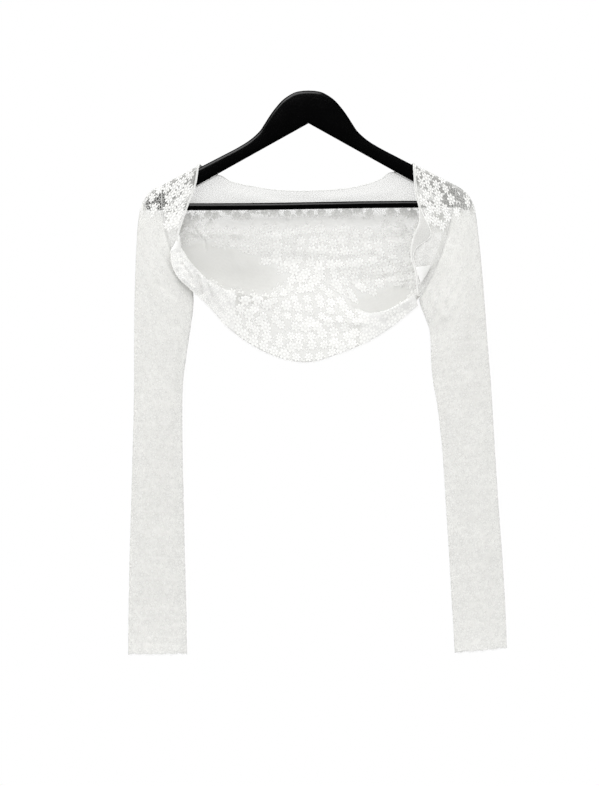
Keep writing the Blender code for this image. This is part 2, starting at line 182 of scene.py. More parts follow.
# Opening edge of each front, from the top of the arm down.
LEFT_EDGE = records(
    Station,
    (-147.5, -101.3), (-149.5, -107), (-152.5, -126), (-158, -143), (-165.5, -162), (-171.5, -180),
    (-176, -194), (-176, -204), (-172.5, -210.5),
)
RIGHT_EDGE = records(
    Station,
    (142, -100), (142.8, -113), (145.5, -143), (149.5, -158), (150, -180), (142.5, -198), (139, -224),
    (144.5, -246), (147.5, -276),
)
NECK_CORNERS = {Side.LEFT: Station(-123.5, -113.6), Side.RIGHT: Station(116.5, -109.8)}

# Across and height of each strip of the back at its six levels: neck, middle, low, trough, roll, hem.
BACK_STRIPS = (
    ((-197.4, -154), (-185, -217), (-170, -249), (-158.5, -266.5), (-170.5, -215.5), (-185.3, -219.5)),
    ((-172, -141), (-164, -219), (-156, -252), (-145, -275), (-160, -232), (-183.5, -236)),
    ((-148, -128), (-144, -221), (-140, -255), (-133, -281), (-147.5, -246), (-175, -254)),
    ((-123.5, -114.3), (-125, -222), (-124, -257), (-122, -285), (-132, -260), (-160, -268)),
    ((-104, -123), (-107, -225), (-107, -259), (-107, -288), (-112, -270), (-137, -290)),
    ((-76, -129), (-78, -227), (-79, -259), (-80, -288), (-81, -279), (-102, -327)),
    ((-41, -134), (-41, -225), (-41, -253), (-41, -277), (-43, -287), (-55, -356)),
    ((-1, -135), (-1, -223), (-1, -247), (-1, -268), (-1, -296), (-3, -368)),
    ((40, -133), (38, -224), (39, -251), (40, -276), (40, -302), (48, -354)),
    ((72, -128), (70, -227), (72, -262), (75, -294), (75, -304), (86, -337)),
    ((97, -120), (94, -227), (97, -267), (102, -307), (102, -299), (114, -319)),
    ((116.5, -110.5), (116, -226), (117, -267), (121, -302), (121, -290), (131, -305)),
    ((156, -132), (147, -223), (139, -262), (135, -294), (134, -282), (141, -297)),
    ((196, -153.5), (178.5, -223), (164, -257), (152, -278), (144, -276.5), (148, -291.5)),
)

# Depth of the same levels behind the hanger's middle; the front is negative.
BACK_DEPTHS = (
    (8.6, 9.5, 8, 4.5, -11.5, -12.6),
    (8.6, 14, 14, 8, -12, -15.2),
    (8.6, 16, 17, 9.5, -12.5, -15.6),
    (8.6, 17.5, 19, 11, -13, -13.5),
    (9, 18, 20, 12, -13, -10),
    (9.5, 18, 20, 12, -10, -9),
    (10, 18, 18, 12, 0, -8),
    (10, 18, 17, 12, 4, -7),
    (10, 18, 18, 12, 0, -8),
    (9.5, 18, 20, 12, -9, -9),
    (9, 18, 20, 12, -12, -9.5),
    (8.6, 17, 19, 11, -11.5, -8.5),
    (8.6, 14.5, 15, 9, -9.5, -6.5),
    (8.6, 9.5, 8, 4.5, -7, -5.5),
)
TROUGH_LEVEL = 3
ROLL_LEVEL = 4

# Creases of the back seen on its inside, above the roll and in the hollows.
BACK_CREASES = records(
    Crease,
    (-170, -185, -150, -195, 2.4, 2.4), (-154, -184, -141, -198, 2.2, 2.6),
    (-146, -189, -96, -193, 6.0, 3.2), (-96, -192, -20, -196, 7.0, 3.4),
    (-20, -190, 56, -187, 6.0, 2.8), (-134, -170, -30, -172, 4.4, -3.0),
    (-30, -171, 60, -169, 4.8, -3.2), (60, -172, 124, -175, 4.2, -2.4), (44, -178, 128, -187, 3.6, 2.6),
    (56, -204, 130, -198, 4.6, -2.2), (-14, -214, 58, -222, 6.0, 2.2),
    (-141, -202, -140, -214, 1.4, -1.4), (-113, -211, -105, -207, 1.8, -1.6),
    (-104, -216, -90, -240, 6.0, 0.8), (-136, -178, -124, -179, 1.5, 1.4),
    (-161, -170, -154, -176, 1.5, 1.4), (117, -263, 148, -260, 1.4, 1.7),
    (122, -259, 148, -251, 1.3, 1.6), (100, -248, 140, -240, 2.6, 1.2), (16, -241, 96, -231, 6.0, 2.0),
    (-60, -226, 10, -234, 7.0, -1.6), (84, -214, 134, -234, 4.4, 2.2), (66, -258, 112, -250, 5.0, -1.6),
    (-110, -138, -40, -149, 5.0, 1.6), (-60, -144, 30, -150, 4.0, -1.4),
    (20, -146, 110, -137, 4.6, 1.7),
)
# Plain ovals of the back whose closer net darkens them, painted shade: the left hollow, the right hollow
# above the roll, and the strip below the bar.
SHADED_PLAIN_SPOTS = records(
    PlainShadedSpot,
    (-108, -238, 74, 30, -0.27, 0.5),
    (95, -287, 50, 19, 0.34, 0.5),
    (25, -175.5, 155, 8, 0.03, 0.15),
)
HOLE_SPOTS = records(HoleSpot, (-205, -155, 30, 24, 0.95), (205, -150, 34, 26, 0.4))
LEAST_HOLES = 0.12

# Upper outline of the hanger's right half, from the crest to the lower corner of the tip.
HANGER_TOP = records(
    Station,
    (0, 0), (10, -0.7), (20.5, -3.4), (34, -12), (45, -24), (53, -35), (60, -46), (67, -56),
    (80, -67.5), (97, -78), (118, -89), (146, -103.5), (167, -114.5), (193, -128), (209, -138),
    (217, -145), (220.5, -153), (219, -161),
)
BAR_LINE = records(
    Station,
    (-210, -157.4), (-140, -157.4), (-70, -157.0), (0, -155.9), (70, -154.7), (140, -154.0),
    (210, -153.3),
)

# Creases of the roll and of the part below it that faces the front.
ROLL_CREASES = records(
    Crease,
    (-181, -224, -178, -240, 1.7, 1.9), (-178, -240, -168, -256, 1.7, 2.0),
    (-168, -256, -154, -268, 1.7, 2.0), (-174, -220, -170, -236, 1.6, -1.7),
    (-170, -236, -157, -254, 1.8, -2.0), (-167, -226, -154, -244, 1.6, 2.0),
    (-156, -246, -150, -272, 2.0, 3.2), (-148, -252, -143, -276, 1.8, -2.2),
    (-143, -254, -135, -284, 1.9, 2.2), (-136, -262, -126, -288, 1.7, -1.9),
    (-130, -264, -116, -296, 2.1, 2.0), (-118, -270, -104, -298, 2.2, -1.5),
    (-108, -274, -88, -306, 2.6, 0.7), (-78, -292, -20, -305, 3.6, -1.2),
    (-70, -300, 10, -322, 5.0, 1.4), (20, -311, 96, -318, 3.6, 1.6), (30, -330, 110, -312, 4.2, -1.3),
    (-30, -340, 60, -345, 5.0, 1.1), (100, -300, 134, -286, 2.8, 1.4),
    (110, -308, 142, -292, 2.4, -1.1),
)
SLEEVE_CREASES = {
    Side.LEFT: records(
        Crease,
        (-168, -262, -196, -238, 4.0, 1.4), (-170, -285, -206, -262, 4.4, -1.2),
        (-206, -190, -214, -330, 6.0, 1.2), (-176, -330, -186, -450, 5.5, 1.1),
        (-200, -380, -196, -560, 6.5, -1.1), (-222, -420, -224, -600, 5.5, 1.0),
        (-182, -520, -180, -680, 5.5, 1.2), (-206, -600, -210, -740, 6.0, 1.1),
        (-230, -620, -232, -745, 5.0, -0.9),
    ),
    Side.RIGHT: records(
        Crease,
        (160, -268, 183, -308, 3.0, 1.8), (166, -263, 190, -300, 3.2, -1.3),
        (170, -318, 200, -290, 4.4, 1.1), (206, -190, 214, -330, 6.0, 1.1),
        (182, -340, 196, -470, 5.5, 1.2), (214, -380, 222, -560, 6.5, -1.1),
        (236, -420, 242, -600, 5.5, 1.0), (199, -520, 206, -690, 5.5, 1.1),
        (228, -600, 238, -745, 6.0, 1.2), (252, -640, 258, -740, 4.6, -0.9),
    ),
}
FRONT_CREASES = {
    Side.LEFT: records(
        Crease,
        (-186, -150, -176, -205, 3.2, 1.0), (-170, -125, -168, -160, 3.0, 0.8),
    ),
    Side.RIGHT: records(
        Crease,
        (168, -140, 164, -200, 3.4, 1.0), (156, -206, 150, -262, 2.6, 1.2),
        (165, -215, 156, -262, 3.0, -1.0),
    ),
}


def along(table: np.ndarray, places: np.ndarray) -> np.ndarray:
    """Reads a table along a smooth curve through its rows.

    Between two rows the value is the cubic whose slope at each row is half the step between that
    row's neighbours (Catmull-Rom); the ends go on straight.

    Args:
        table: rows of values, of any further shape.
        places: where to read, counted in rows from 0.

    Returns:
        One entry of the table's row shape for each place.
    """
    table = np.asarray(table, dtype=float)
    padded = np.concatenate([2 * table[:1] - table[1:2], table, 2 * table[-1:] - table[-2:-1]])
    index = np.clip(np.floor(places).astype(int), 0, len(table) - 2)
    share = (np.asarray(places) - index).reshape(-1, *([1] * (table.ndim - 1)))
    before, start, end, after = (padded[index + step] for step in range(4))
    return 0.5 * (
        2 * start
        + (end - before) * share
        + (2 * before - 5 * start + 4 * end - after) * share**2
        + (3 * start - before - 3 * end + after) * share**3
    )


def push(points: np.ndarray, creases: tuple[Crease, ...], strength: np.ndarray) -> np.ndarray:
    """Raises creases towards the front on a grid of points.

    Each crease adds its height times the bell curve of the distance from its line, seen from the
    front.

    Args:
        points: grid of points in millimetres.
        creases: the ridges and troughs.
        strength: share of the height that each point takes, with the sign of its way.

    Returns:
        The moved grid.
    """
    moved = points.copy()
    flat = points[..., [0, 2]]
    for crease in creases:
        start = np.array([crease.start_x, crease.start_z])
        way = np.array([crease.end_x, crease.end_z]) - start
        share = np.clip(((flat - start) @ way) / (way @ way), 0, 1)
        gap = np.linalg.norm(flat - start - share[..., None] * way, axis=-1)
        moved[..., 1] -= crease.height * strength * np.exp(-((gap / crease.width) ** 2))
    return moved


def fade(values: np.ndarray, start: float, reach: float) -> np.ndarray:
    """A share that grows from 0 at the start to 1 at a reach past it; a negative reach goes down."""
    return np.clip((values - start) / reach, 0, 1)


def travelled(path: np.ndarray) -> np.ndarray:
    """Distance along a path at each of its points."""
    return np.concatenate([[0.0], np.cumsum(np.linalg.norm(np.diff(path, axis=0), axis=1))])


def walk(path: np.ndarray, reach: np.ndarray, spots: np.ndarray) -> np.ndarray:
    """Points of a path at some distances along it, on straight lines between its own points."""
    return np.stack([np.interp(spots, reach, path[:, axis]) for axis in range(3)], axis=1)


def unit(ways: np.ndarray) -> np.ndarray:
    """Directions with their length made one."""
    return ways / np.linalg.norm(ways, axis=1, keepdims=True)


def grid_cells(rows: int, columns: int, row_count: int, column_count: int) -> np.ndarray:
    """Corners of each cell of a grid whose points are counted row by row.

    A cell goes from its own point to the one below, to the one beside that, and to the one beside
    its own.

    Args:
        rows: rows of points; a cell below the last one goes back to the first.
        columns: columns of points; a cell past the last one goes back to the first.
        row_count: rows of cells, one less than rows where the grid is open down.
        column_count: columns of cells, one less than columns where it is open across.

    Returns:
        Four vertex numbers for each cell.
    """
    row, cell = np.meshgrid(np.arange(row_count), np.arange(column_count), indexing="ij")
    low, over = (row + 1) % rows * columns, (cell + 1) % columns
    here = row * columns
    return np.stack([here + cell, low + cell, low + over, here + over], axis=-1).reshape(-1, 4)


@dataclass
class Surface:
    """A grid of points on a cloth, in millimetres: rows run down the cloth, columns across it."""

    points: np.ndarray
    closed: bool = False

    def wrapped(self) -> np.ndarray:
        """The grid with its first column again at its end where the cloth is a tube."""
        if not self.closed:
            return self.points
        return np.concatenate([self.points, self.points[:, :1]], axis=1)

    def normals(self) -> np.ndarray:
        """Unit normals of the wrapped grid: the cross product of its two directions."""
        grid = self.wrapped()
        down = np.gradient(grid, axis=0)
        across = np.gradient(grid, axis=1)
        if self.closed:
            turn = (grid[:, 1] - grid[:, -2]) / 2
            across[:, 0] = turn
            across[:, -1] = turn
        normal = np.cross(down, across)
        return normal / np.maximum(np.linalg.norm(normal, axis=2, keepdims=True), 1e-9)

    def lengths(self) -> tuple[np.ndarray, np.ndarray]:
        """Distance along the cloth from its first row, and from its first column, at each point."""
        grid = self.wrapped()
        down = np.linalg.norm(np.diff(grid, axis=0), axis=2)
        across = np.linalg.norm(np.diff(grid, axis=1), axis=2)
        rows = np.concatenate([np.zeros((1, grid.shape[1])), np.cumsum(down, axis=0)])
        columns = np.concatenate([np.zeros((grid.shape[0], 1)), np.cumsum(across, axis=1)], axis=1)
        return rows, columns

    def steps(self, rows: np.ndarray, columns: np.ndarray) -> tuple[np.ndarray, np.ndarray]:
        """Length of a row's step down, and of a column's step across, at some places."""
        down, over = self.lengths()
        return (self.read(np.gradient(down, axis=0)[..., None], rows, columns),
                self.read(np.gradient(over, axis=1)[..., None], rows, columns))

    def area(self) -> float:
        """Area of the cloth in square metres, from the cross products of its cells."""
        grid = self.wrapped() * MM
        down = grid[1:, :-1] - grid[:-1, :-1]
        across = grid[:-1, 1:] - grid[:-1, :-1]
        return float(np.linalg.norm(np.cross(down, across), axis=2).sum())

    def read(self, values: np.ndarray, rows: np.ndarray, columns: np.ndarray) -> np.ndarray:
        """Values of a wrapped grid between its points, weighted by the four corners around.

        Past an edge the last step goes on straight.

        Args:
            values: a grid like the wrapped one.
            rows: places down, counted in rows.
            columns: places across, counted in columns; a tube goes on past its end.

        Returns:
            One value for each place.
        """
        height, width = values.shape[:2]
        if self.closed:
            columns = np.mod(columns, width - 1)
        top = np.clip(np.floor(rows).astype(int), 0, height - 2)
        left = np.clip(np.floor(columns).astype(int), 0, width - 2)
        down = (rows - top)[..., None]
        over = (columns - left)[..., None]
        upper = values[top, left] * (1 - over) + values[top, left + 1] * over
        lower = values[top + 1, left] * (1 - over) + values[top + 1, left + 1] * over
        return upper * (1 - down) + lower * down


def new_object(name: str, points: np.ndarray, faces: list, material: bpy.types.Material) -> bpy.types.Object:
    """A smooth mesh object at the origin.

    Args:
        name: its name.
        points: vertices in millimetres.
        faces: vertex numbers of each face.
        material: its finish.

    Returns:
        The linked object.
    """
    mesh = bpy.data.meshes.new(name)
    mesh.from_pydata((points.reshape(-1, 3) * MM).tolist(), [], faces)
    mesh.materials.append(material)
    mesh.shade_smooth()
    thing = bpy.data.objects.new(name, mesh)
    bpy.context.scene.collection.objects.link(thing)
    return thing


def add_values(thing: bpy.types.Object, name: str, values: np.ndarray) -> None:
    """Stores one number for each vertex.

    Args:
        thing: the object.
        name: the attribute's name.
        values: the numbers.
    """
    attribute = thing.data.attributes.new(name, "FLOAT", "POINT")
    attribute.data.foreach_set("value", np.ascontiguousarray(values, dtype=np.float32).ravel())


def add_uv(thing: bpy.types.Object, corners: np.ndarray) -> None:
    """Stores the place on the cloth, in metres, for each corner of each face.

    Args:
        thing: the object.
        corners: two numbers for each corner, in the order of the faces.
    """
    layer = thing.data.uv_layers.new(name=UV_NAME)
    layer.data.foreach_set("uv", np.ascontiguousarray(corners * MM, dtype=np.float32).ravel())


def solidify(thing: bpy.types.Object, thickness: float) -> None:
    """Gives a sheet its thickness, half to each side.

    Args:
        thing: the sheet.
        thickness: in millimetres.
    """
    wall = thing.modifiers.new("thickness", "SOLIDIFY")
    wall.thickness = thickness * MM
    wall.offset = 0.0
    wall.use_even_offset = False


def make_sheet(
    name: str, surface: Surface, thickness: float, solid: np.ndarray, holes: np.ndarray,
    material: bpy.types.Material
) -> bpy.types.Object:
    """The net ground of a piece: its grid as a thin sheet with its place on the cloth as UV map.

    Args:
        name: the piece's name.
        surface: its grid.
        thickness: of the sheet, in millimetres.
        solid: how closely worked the cloth is at each point, from 0 to 1.
        holes: how open the little holes of its ground are, from 0 to 1.
        material: its finish.

    Returns:
        The object.
    """
    rows, columns = surface.points.shape[:2]
    cells = columns if surface.closed else columns - 1
    faces = grid_cells(rows, columns, rows - 1, cells)
    thing = new_object(name, surface.points, faces.tolist(), material)
    down, over = surface.lengths()
    middle = down.shape[1] // 2
    spots = np.stack([over - over[:, middle : middle + 1], down], axis=-1)
    add_uv(thing, np.stack([spots[:-1, :-1], spots[1:, :-1], spots[1:, 1:], spots[:-1, 1:]], axis=2))
    add_values(thing, SOLID_NAME, solid)
    add_values(thing, HOLES_NAME, holes)
    solidify(thing, thickness)
    return thing


class SleeveShape:
    """Points on the rings of a sleeve, shared by the sleeve, the fronts and the back."""

    UNDERARM_FOLD = 4.0
    SEAM_HEIGHT = -151.2

    @classmethod
    def seam_drop(cls, side: Side) -> float:
        """Share of the armhole's height between the arm's top and the seam behind."""
        row = SLEEVES[side][0]
        return (row.outer_z - cls.SEAM_HEIGHT) / (row.outer_z - row.inner_z)

    @classmethod
    def face(cls, row: SleeveRow, samples: int) -> tuple[np.ndarray, np.ndarray]:
        """Shares from the outer fold to the inner one, with the half depth at each.

        Each end is a quarter circle, and between them the half depth is a straight line with half a
        sine wave on it.

        Args:
            row: the ring.
            samples: how many points the face has, about.

        Returns:
            The shares counted up from the inner fold, and the half depths.
        """
        length = math.hypot(row.outer_x - row.inner_x, row.outer_z - row.inner_z)
        turn = np.linspace(0, math.pi / 2, samples // 4 + 1)
        outer_reach = row.outer_fold * (1 - np.cos(turn))
        inner_reach = length - cls.UNDERARM_FOLD * (1 - np.cos(turn[::-1]))
        middle = np.linspace(0, 1, samples // 2 + 1)[1:-1]
        reach_over = row.outer_fold + (length - row.outer_fold - cls.UNDERARM_FOLD) * middle
        reach = np.concatenate([outer_reach, reach_over, inner_reach]) / length
        base = row.outer_fold + (cls.UNDERARM_FOLD - row.outer_fold) * middle
        bulge = (row.depth - (row.outer_fold + cls.UNDERARM_FOLD) / 2) * np.sin(math.pi * middle)
        folds = (row.outer_fold * np.sin(turn), cls.UNDERARM_FOLD * np.sin(turn[::-1]))
        return 1 - reach, np.concatenate([folds[0], base + bulge, folds[1]])

    @staticmethod
    def ring(row: SleeveRow, shares: np.ndarray, depths: np.ndarray | float) -> np.ndarray:
        """Points at shares of the chord from the inner fold, bowed outward as a parabola.

        Args:
            row: the ring.
            shares: along the chord from its inner end.
            depths: distance behind the hanger's middle.

        Returns:
            The points.
        """
        inner = np.array([row.inner_x, row.inner_z])
        chord = np.array([row.outer_x, row.outer_z]) - inner
        outward = np.array([-chord[1], chord[0]]) / np.linalg.norm(chord)
        outward *= 1.0 if outward[0] * row.outer_x > 0 else -1.0
        bow = 4 * row.bow * (shares * (1 - shares))
        flat = inner + shares[:, None] * chord + bow[:, None] * outward
        return np.column_stack([flat[:, 0], np.broadcast_to(depths, shares.shape), flat[:, 1]])

    @classmethod
    def section(cls, row: SleeveRow, samples: int) -> np.ndarray:
        """One closed ring: over the back from the outer fold to the inner one, and round the front."""
        shares, depths = cls.face(row, samples)
        back = cls.ring(row, shares, depths)
        front = cls.ring(row, shares[::-1][1:-1], -depths[::-1][1:-1])
        return np.vstack([back, front])

    @classmethod
    def armhole(cls, side: Side, shares: np.ndarray, inset: float) -> tuple[np.ndarray, np.ndarray]:
        """The armhole in the plane of the front, moved to the body side, and its half depth.

        Args:
            side: which sleeve.
            shares: places counted up from the underarm.
            inset: how far to move it.

        Returns:
            Across and height of each place, and the half depths.
        """
        row = SLEEVES[side][0]
        places, depths = cls.face(row, 24)
        depth = np.interp(shares, places[::-1], depths[::-1])
        path = cls.ring(row, shares, 0.0)[:, [0, 2]]
        way = np.gradient(path, axis=0)
        inboard = np.column_stack([way[:, 1], -way[:, 0]]) / np.linalg.norm(way, axis=1)[:, None]
        inboard *= np.sign(-row.outer_x * inboard[:, :1])
        return path + inboard * inset, depth


@dataclass(frozen=True)
class NodeBench:
    """Short ways to put nodes into a tree."""

    tree: bpy.types.NodeTree

    def node(self, kind: str, **settings: object) -> bpy.types.Node:
        """A new node with its settings."""
        made = self.tree.nodes.new(kind)
        for name, value in settings.items():
            setattr(made, name, value)
        return made

    def put(self, target: bpy.types.NodeSocket, source: object) -> None:
        """Links a socket to an input, or sets the input's value."""
        if isinstance(source, bpy.types.NodeSocket):
            self.tree.links.new(source, target)
        else:
            target.default_value = source

    def fill(self, node: bpy.types.Node, sources: dict[str, object]) -> bpy.types.Node:
        """Links or sets the named inputs of a node."""
        for name, source in sources.items():
            self.put(node.inputs[name], source)
        return node

    def math(self, operation: str, *sources: object) -> bpy.types.NodeSocket:
        """The result of one operation on numbers."""
        made = self.node("ShaderNodeMath", operation=operation)
        for target, source in zip(made.inputs, sources):
            self.put(target, source)
        return made.outputs[0]

    def scaled(self, vector: bpy.types.NodeSocket, scale: tuple[float, ...]) -> bpy.types.NodeSocket:
        """A vector scaled along its three axes."""
        made = self.node("ShaderNodeMapping")
        return self.fill(made, {"Vector": vector, "Scale": scale}).outputs[0]

    def noise(self, vector: bpy.types.NodeSocket, scale: float, detail: float) -> bpy.types.NodeSocket:
        """Soft noise from 0 to 1."""
        made = self.node("ShaderNodeTexNoise")
        return self.fill(made, {"Vector": vector, "Scale": scale, "Detail": detail}).outputs["Fac"]

    def mix(self, share: object, low: object, high: object) -> bpy.types.NodeSocket:
        """A number between two others."""
        made = self.node("ShaderNodeMix", data_type="FLOAT")
        self.put(made.inputs[0], share)
        self.put(made.inputs[2], low)
        self.put(made.inputs[3], high)
        return made.outputs[0]

    def blend(self, share: object, low: object, high: object) -> bpy.types.NodeSocket:
        """A colour between two others."""
        made = self.node("ShaderNodeMix", data_type="RGBA")
        self.put(made.inputs[0], share)
        for target, colour in ((made.inputs[6], low), (made.inputs[7], high)):
            self.put(target, (*colour, 1.0) if isinstance(colour, tuple) else colour)
        return made.outputs[2]

    def ramp(self, source: bpy.types.NodeSocket, low: float, high: float) -> bpy.types.NodeSocket:
        """A number's share of the way from low to high, kept between 0 and 1."""
        made = self.node("ShaderNodeMapRange")
        return self.fill(made, {"Value": source, "From Min": low, "From Max": high}).outputs[0]

    def stored(self, name: str) -> bpy.types.NodeSocket:
        """The number that a mesh holds for each vertex under a name."""
        return self.node("ShaderNodeAttribute", attribute_name=name).outputs["Fac"]

    def bump(self, height: bpy.types.NodeSocket, strength: float, distance: float) -> bpy.types.NodeSocket:
        """A normal from a height, with the distance in millimetres."""
        made = self.node("ShaderNodeBump")
        sources = {"Height": height, "Strength": strength, "Distance": distance * MM}
        return self.fill(made, sources).outputs[0]


def new_finish(name: str) -> tuple[bpy.types.Material, NodeBench, bpy.types.Node]:
    """A new material, a bench for its nodes, and its shader."""
    material = bpy.data.materials.new(name)
    material.use_nodes = True
    return material, NodeBench(material.node_tree), material.node_tree.nodes["Principled BSDF"]


class LaceNet:
    """The fine ground of the lace, as a shader group used by every lace finish."""

    NAME = "lace_net"
    MESH_PITCH = 1.7
    THREAD_SHARPNESS = 3.0
    SCALE_HEIGHT = 5.0
    SCALE_WIDTH = 7.0
    SCALE_RISE = 2.2
    LINE_SHARPNESS = 4.0
    HOLE_PITCH = 3.3
    BAR = (0.1, 0.2)

    @classmethod
    def group(cls) -> bpy.types.NodeTree:
        """The group: threads in three directions, rows of small scales, and uneven little holes.

        A thread is a cosine band. A row of scales is a cosine band whose height swings across as the
        size of a sine, and every other row is moved half a scale. A hole is the inside of a cell,
        away from its nearest border.

        Returns:
            The node tree, built once.
        """
        found = bpy.data.node_groups.get(cls.NAME)
        if found:
            return found
        tree = bpy.data.node_groups.new(cls.NAME, "ShaderNodeTree")
        tree.interface.new_socket(name="Place", in_out="INPUT", socket_type="NodeSocketVector")
        for name in ("Threads", "Scales", "Holes"):
            tree.interface.new_socket(name=name, in_out="OUTPUT", socket_type="NodeSocketFloat")
        bench = NodeBench(tree)
        place = bench.node("NodeGroupInput").outputs["Place"]
        result = bench.node("NodeGroupOutput")
        split = bench.node("ShaderNodeSeparateXYZ")
        bench.put(split.inputs[0], place)
        across, down = split.outputs[0], split.outputs[1]
        threads = None
        for turn in (0.0, math.pi / 3, 2 * math.pi / 3):
            lean = bench.math("ADD", bench.math("MULTIPLY", across, math.cos(turn)),
                              bench.math("MULTIPLY", down, math.sin(turn)))
            wave = bench.math("COSINE", bench.math("MULTIPLY", lean, 2 * math.pi / (cls.MESH_PITCH * MM)))
            band = bench.math("POWER", bench.math("MULTIPLY_ADD", wave, 0.5, 0.5), cls.THREAD_SHARPNESS)
            threads = band if threads is None else bench.math("MAXIMUM", threads, band)
        bench.put(result.inputs["Threads"], threads)
        scales = None
        for shift in (0.0, 0.5):
            swing = bench.math("SINE", bench.math("MULTIPLY_ADD", across, math.pi / (cls.SCALE_WIDTH * MM),
                                                  math.pi * shift))
            level = bench.math("MULTIPLY_ADD", bench.math("ABSOLUTE", swing), cls.SCALE_RISE * MM, down)
            turns = bench.math("MULTIPLY_ADD", level, math.pi / (cls.SCALE_HEIGHT * MM), 2 * math.pi * shift)
            wave = bench.math("MULTIPLY_ADD", bench.math("COSINE", turns), 0.5, 0.5)
            line = bench.math("POWER", wave, cls.LINE_SHARPNESS)
            scales = line if scales is None else bench.math("MAXIMUM", scales, line)
        bench.put(result.inputs["Scales"], scales)
        cells = bench.node("ShaderNodeTexVoronoi", voronoi_dimensions="2D", feature="DISTANCE_TO_EDGE")
        bench.fill(cells, {"Vector": place, "Scale": 1 / (cls.HOLE_PITCH * MM)})
        bench.put(result.inputs["Holes"], bench.ramp(cells.outputs["Distance"], *cls.BAR))
        return tree


@dataclass(frozen=True)
class LaceFinish:
    """White lace: a sheer net, closer where it is worked solid, with rows of scales and soft clouds."""

    name: str
    low: tuple[float, float, float]
    high: tuple[float, float, float]
    sheer: float
    thread_cover: float
    solid_cover: float
    rows: float
    net_relief: float
    worked: tuple[float, float, float] = (0.93, 0.93, 0.92)
    roughness: float = 0.85
    sheen: float = 0.25

    WORKED_FROM = 0.5
    CLOUD_SCALE = 26.0
    PATCH_SCALE = 34.0
    PATCH_RANGE = (0.3, 0.6)
    FIBRE_SCALE = 900.0
    THREAD_RISE = 0.3
    FIBRE_RISE = 0.2

    def build(self) -> bpy.types.Material:
        """The material.

        Returns:
            A new material whose cover, colour and relief follow the cloth's own UV map.
        """
        material, bench, shader = new_finish(self.name)
        place = bench.node("ShaderNodeUVMap", uv_map=UV_NAME).outputs[0]
        net = bench.node("ShaderNodeGroup")
        net.node_tree = LaceNet.group()
        bench.put(net.inputs["Place"], place)
        threads, scales, holes = (net.outputs[name] for name in ("Threads", "Scales", "Holes"))
        solid = bench.stored(SOLID_NAME)
        spot = bench.node("ShaderNodeTexCoord").outputs["Object"]
        cloud = bench.noise(spot, self.CLOUD_SCALE, 2.0)
        patches = bench.ramp(bench.noise(spot, self.PATCH_SCALE, 1.0), *self.PATCH_RANGE)
        rows = bench.math("MULTIPLY", scales, bench.math("MULTIPLY", patches, self.rows))
        shade = bench.math("ADD", rows, bench.math("MULTIPLY", cloud, 1 - self.rows))
        ground = bench.blend(shade, self.low, self.high)
        cover = bench.mix(solid, bench.mix(threads, self.sheer, self.thread_cover), self.solid_cover)
        left = bench.math("MULTIPLY_ADD", bench.math("MULTIPLY", holes, bench.stored(HOLES_NAME)), -1.0, 1.0)
        rough = bench.noise(spot, self.FIBRE_SCALE, 1.0)
        height = bench.math("ADD", bench.math("MULTIPLY", threads, self.THREAD_RISE),
                            bench.math("ADD", bench.math("MULTIPLY", rough, self.FIBRE_RISE), rows))
        bench.fill(shader, {
            "Base Color": bench.blend(bench.ramp(solid, self.WORKED_FROM, 1.0), ground, self.worked),
            "Alpha": bench.math("MULTIPLY", cover, left),
            "Normal": bench.bump(height, 0.7, self.net_relief),
            "Roughness": self.roughness,
            "Sheen Weight": self.sheen,
            "Sheen Roughness": 0.6,
            "Specular IOR Level": 0.2,
        })
        return material


@dataclass(frozen=True)
class MotifFinish:
    """The worked flowers and leaves: thicker white thread, fully closed along their raised rims."""

    name: str
    low: tuple[float, float, float]
    high: tuple[float, float, float]
    fill_cover: float
    rim_cover: float

    CLOUD_SCALE = 60.0
    TWIST_SCALE = 1400.0

    def build(self) -> bpy.types.Material:
        """The material.

        Returns:
            A new material whose cover and colour follow the motif's rim.
        """
        material, bench, shader = new_finish(self.name)
        solid = bench.stored(SOLID_NAME)
        spot = bench.node("ShaderNodeTexCoord").outputs["Object"]
        cloud = bench.noise(spot, self.CLOUD_SCALE, 2.0)
        share = bench.math("MULTIPLY_ADD", cloud, 0.5, bench.math("MULTIPLY", solid, 0.5))
        bench.fill(shader, {
            "Base Color": bench.blend(share, self.low, self.high),
            "Alpha": bench.mix(solid, self.fill_cover, self.rim_cover),
            "Normal": bench.bump(bench.noise(spot, self.TWIST_SCALE, 1.0), 0.6, 0.3),
            "Roughness": 0.75,
            "Sheen Weight": 0.3,
            "Sheen Roughness": 0.5,
            "Specular IOR Level": 0.25,
        })
        return material


@dataclass(frozen=True)
class LacquerFinish:
    """Black satin lacquer on wood, with faint grain and light rubbing."""

    name: str = "black_lacquer"
    low: tuple[float, float, float] = (0.0006, 0.0006, 0.0007)
    high: tuple[float, float, float] = (0.0014, 0.0014, 0.0015)
    roughness: float = 0.2

    GRAIN_STRETCH = (1.0, 6.0, 9.0)
    GRAIN_SCALE = 60.0
    RUBBING_SCALE = 45.0

    def build(self) -> bpy.types.Material:
        """The material.

        Returns:
            A new material with long grain in its relief and roughness.
        """
        material, bench, shader = new_finish(self.name)
        spot = bench.node("ShaderNodeTexCoord").outputs["Object"]
        grain = bench.noise(bench.scaled(spot, self.GRAIN_STRETCH), self.GRAIN_SCALE, 4.0)
        rubbed = bench.noise(spot, self.RUBBING_SCALE, 3.0)
        bench.fill(shader, {
            "Base Color": bench.blend(grain, self.low, self.high),
            "Roughness": bench.mix(rubbed, self.roughness - 0.05, self.roughness + 0.08),
            "Normal": bench.bump(grain, 0.15, 0.2),
            "Specular IOR Level": 0.6,
        })
        return material


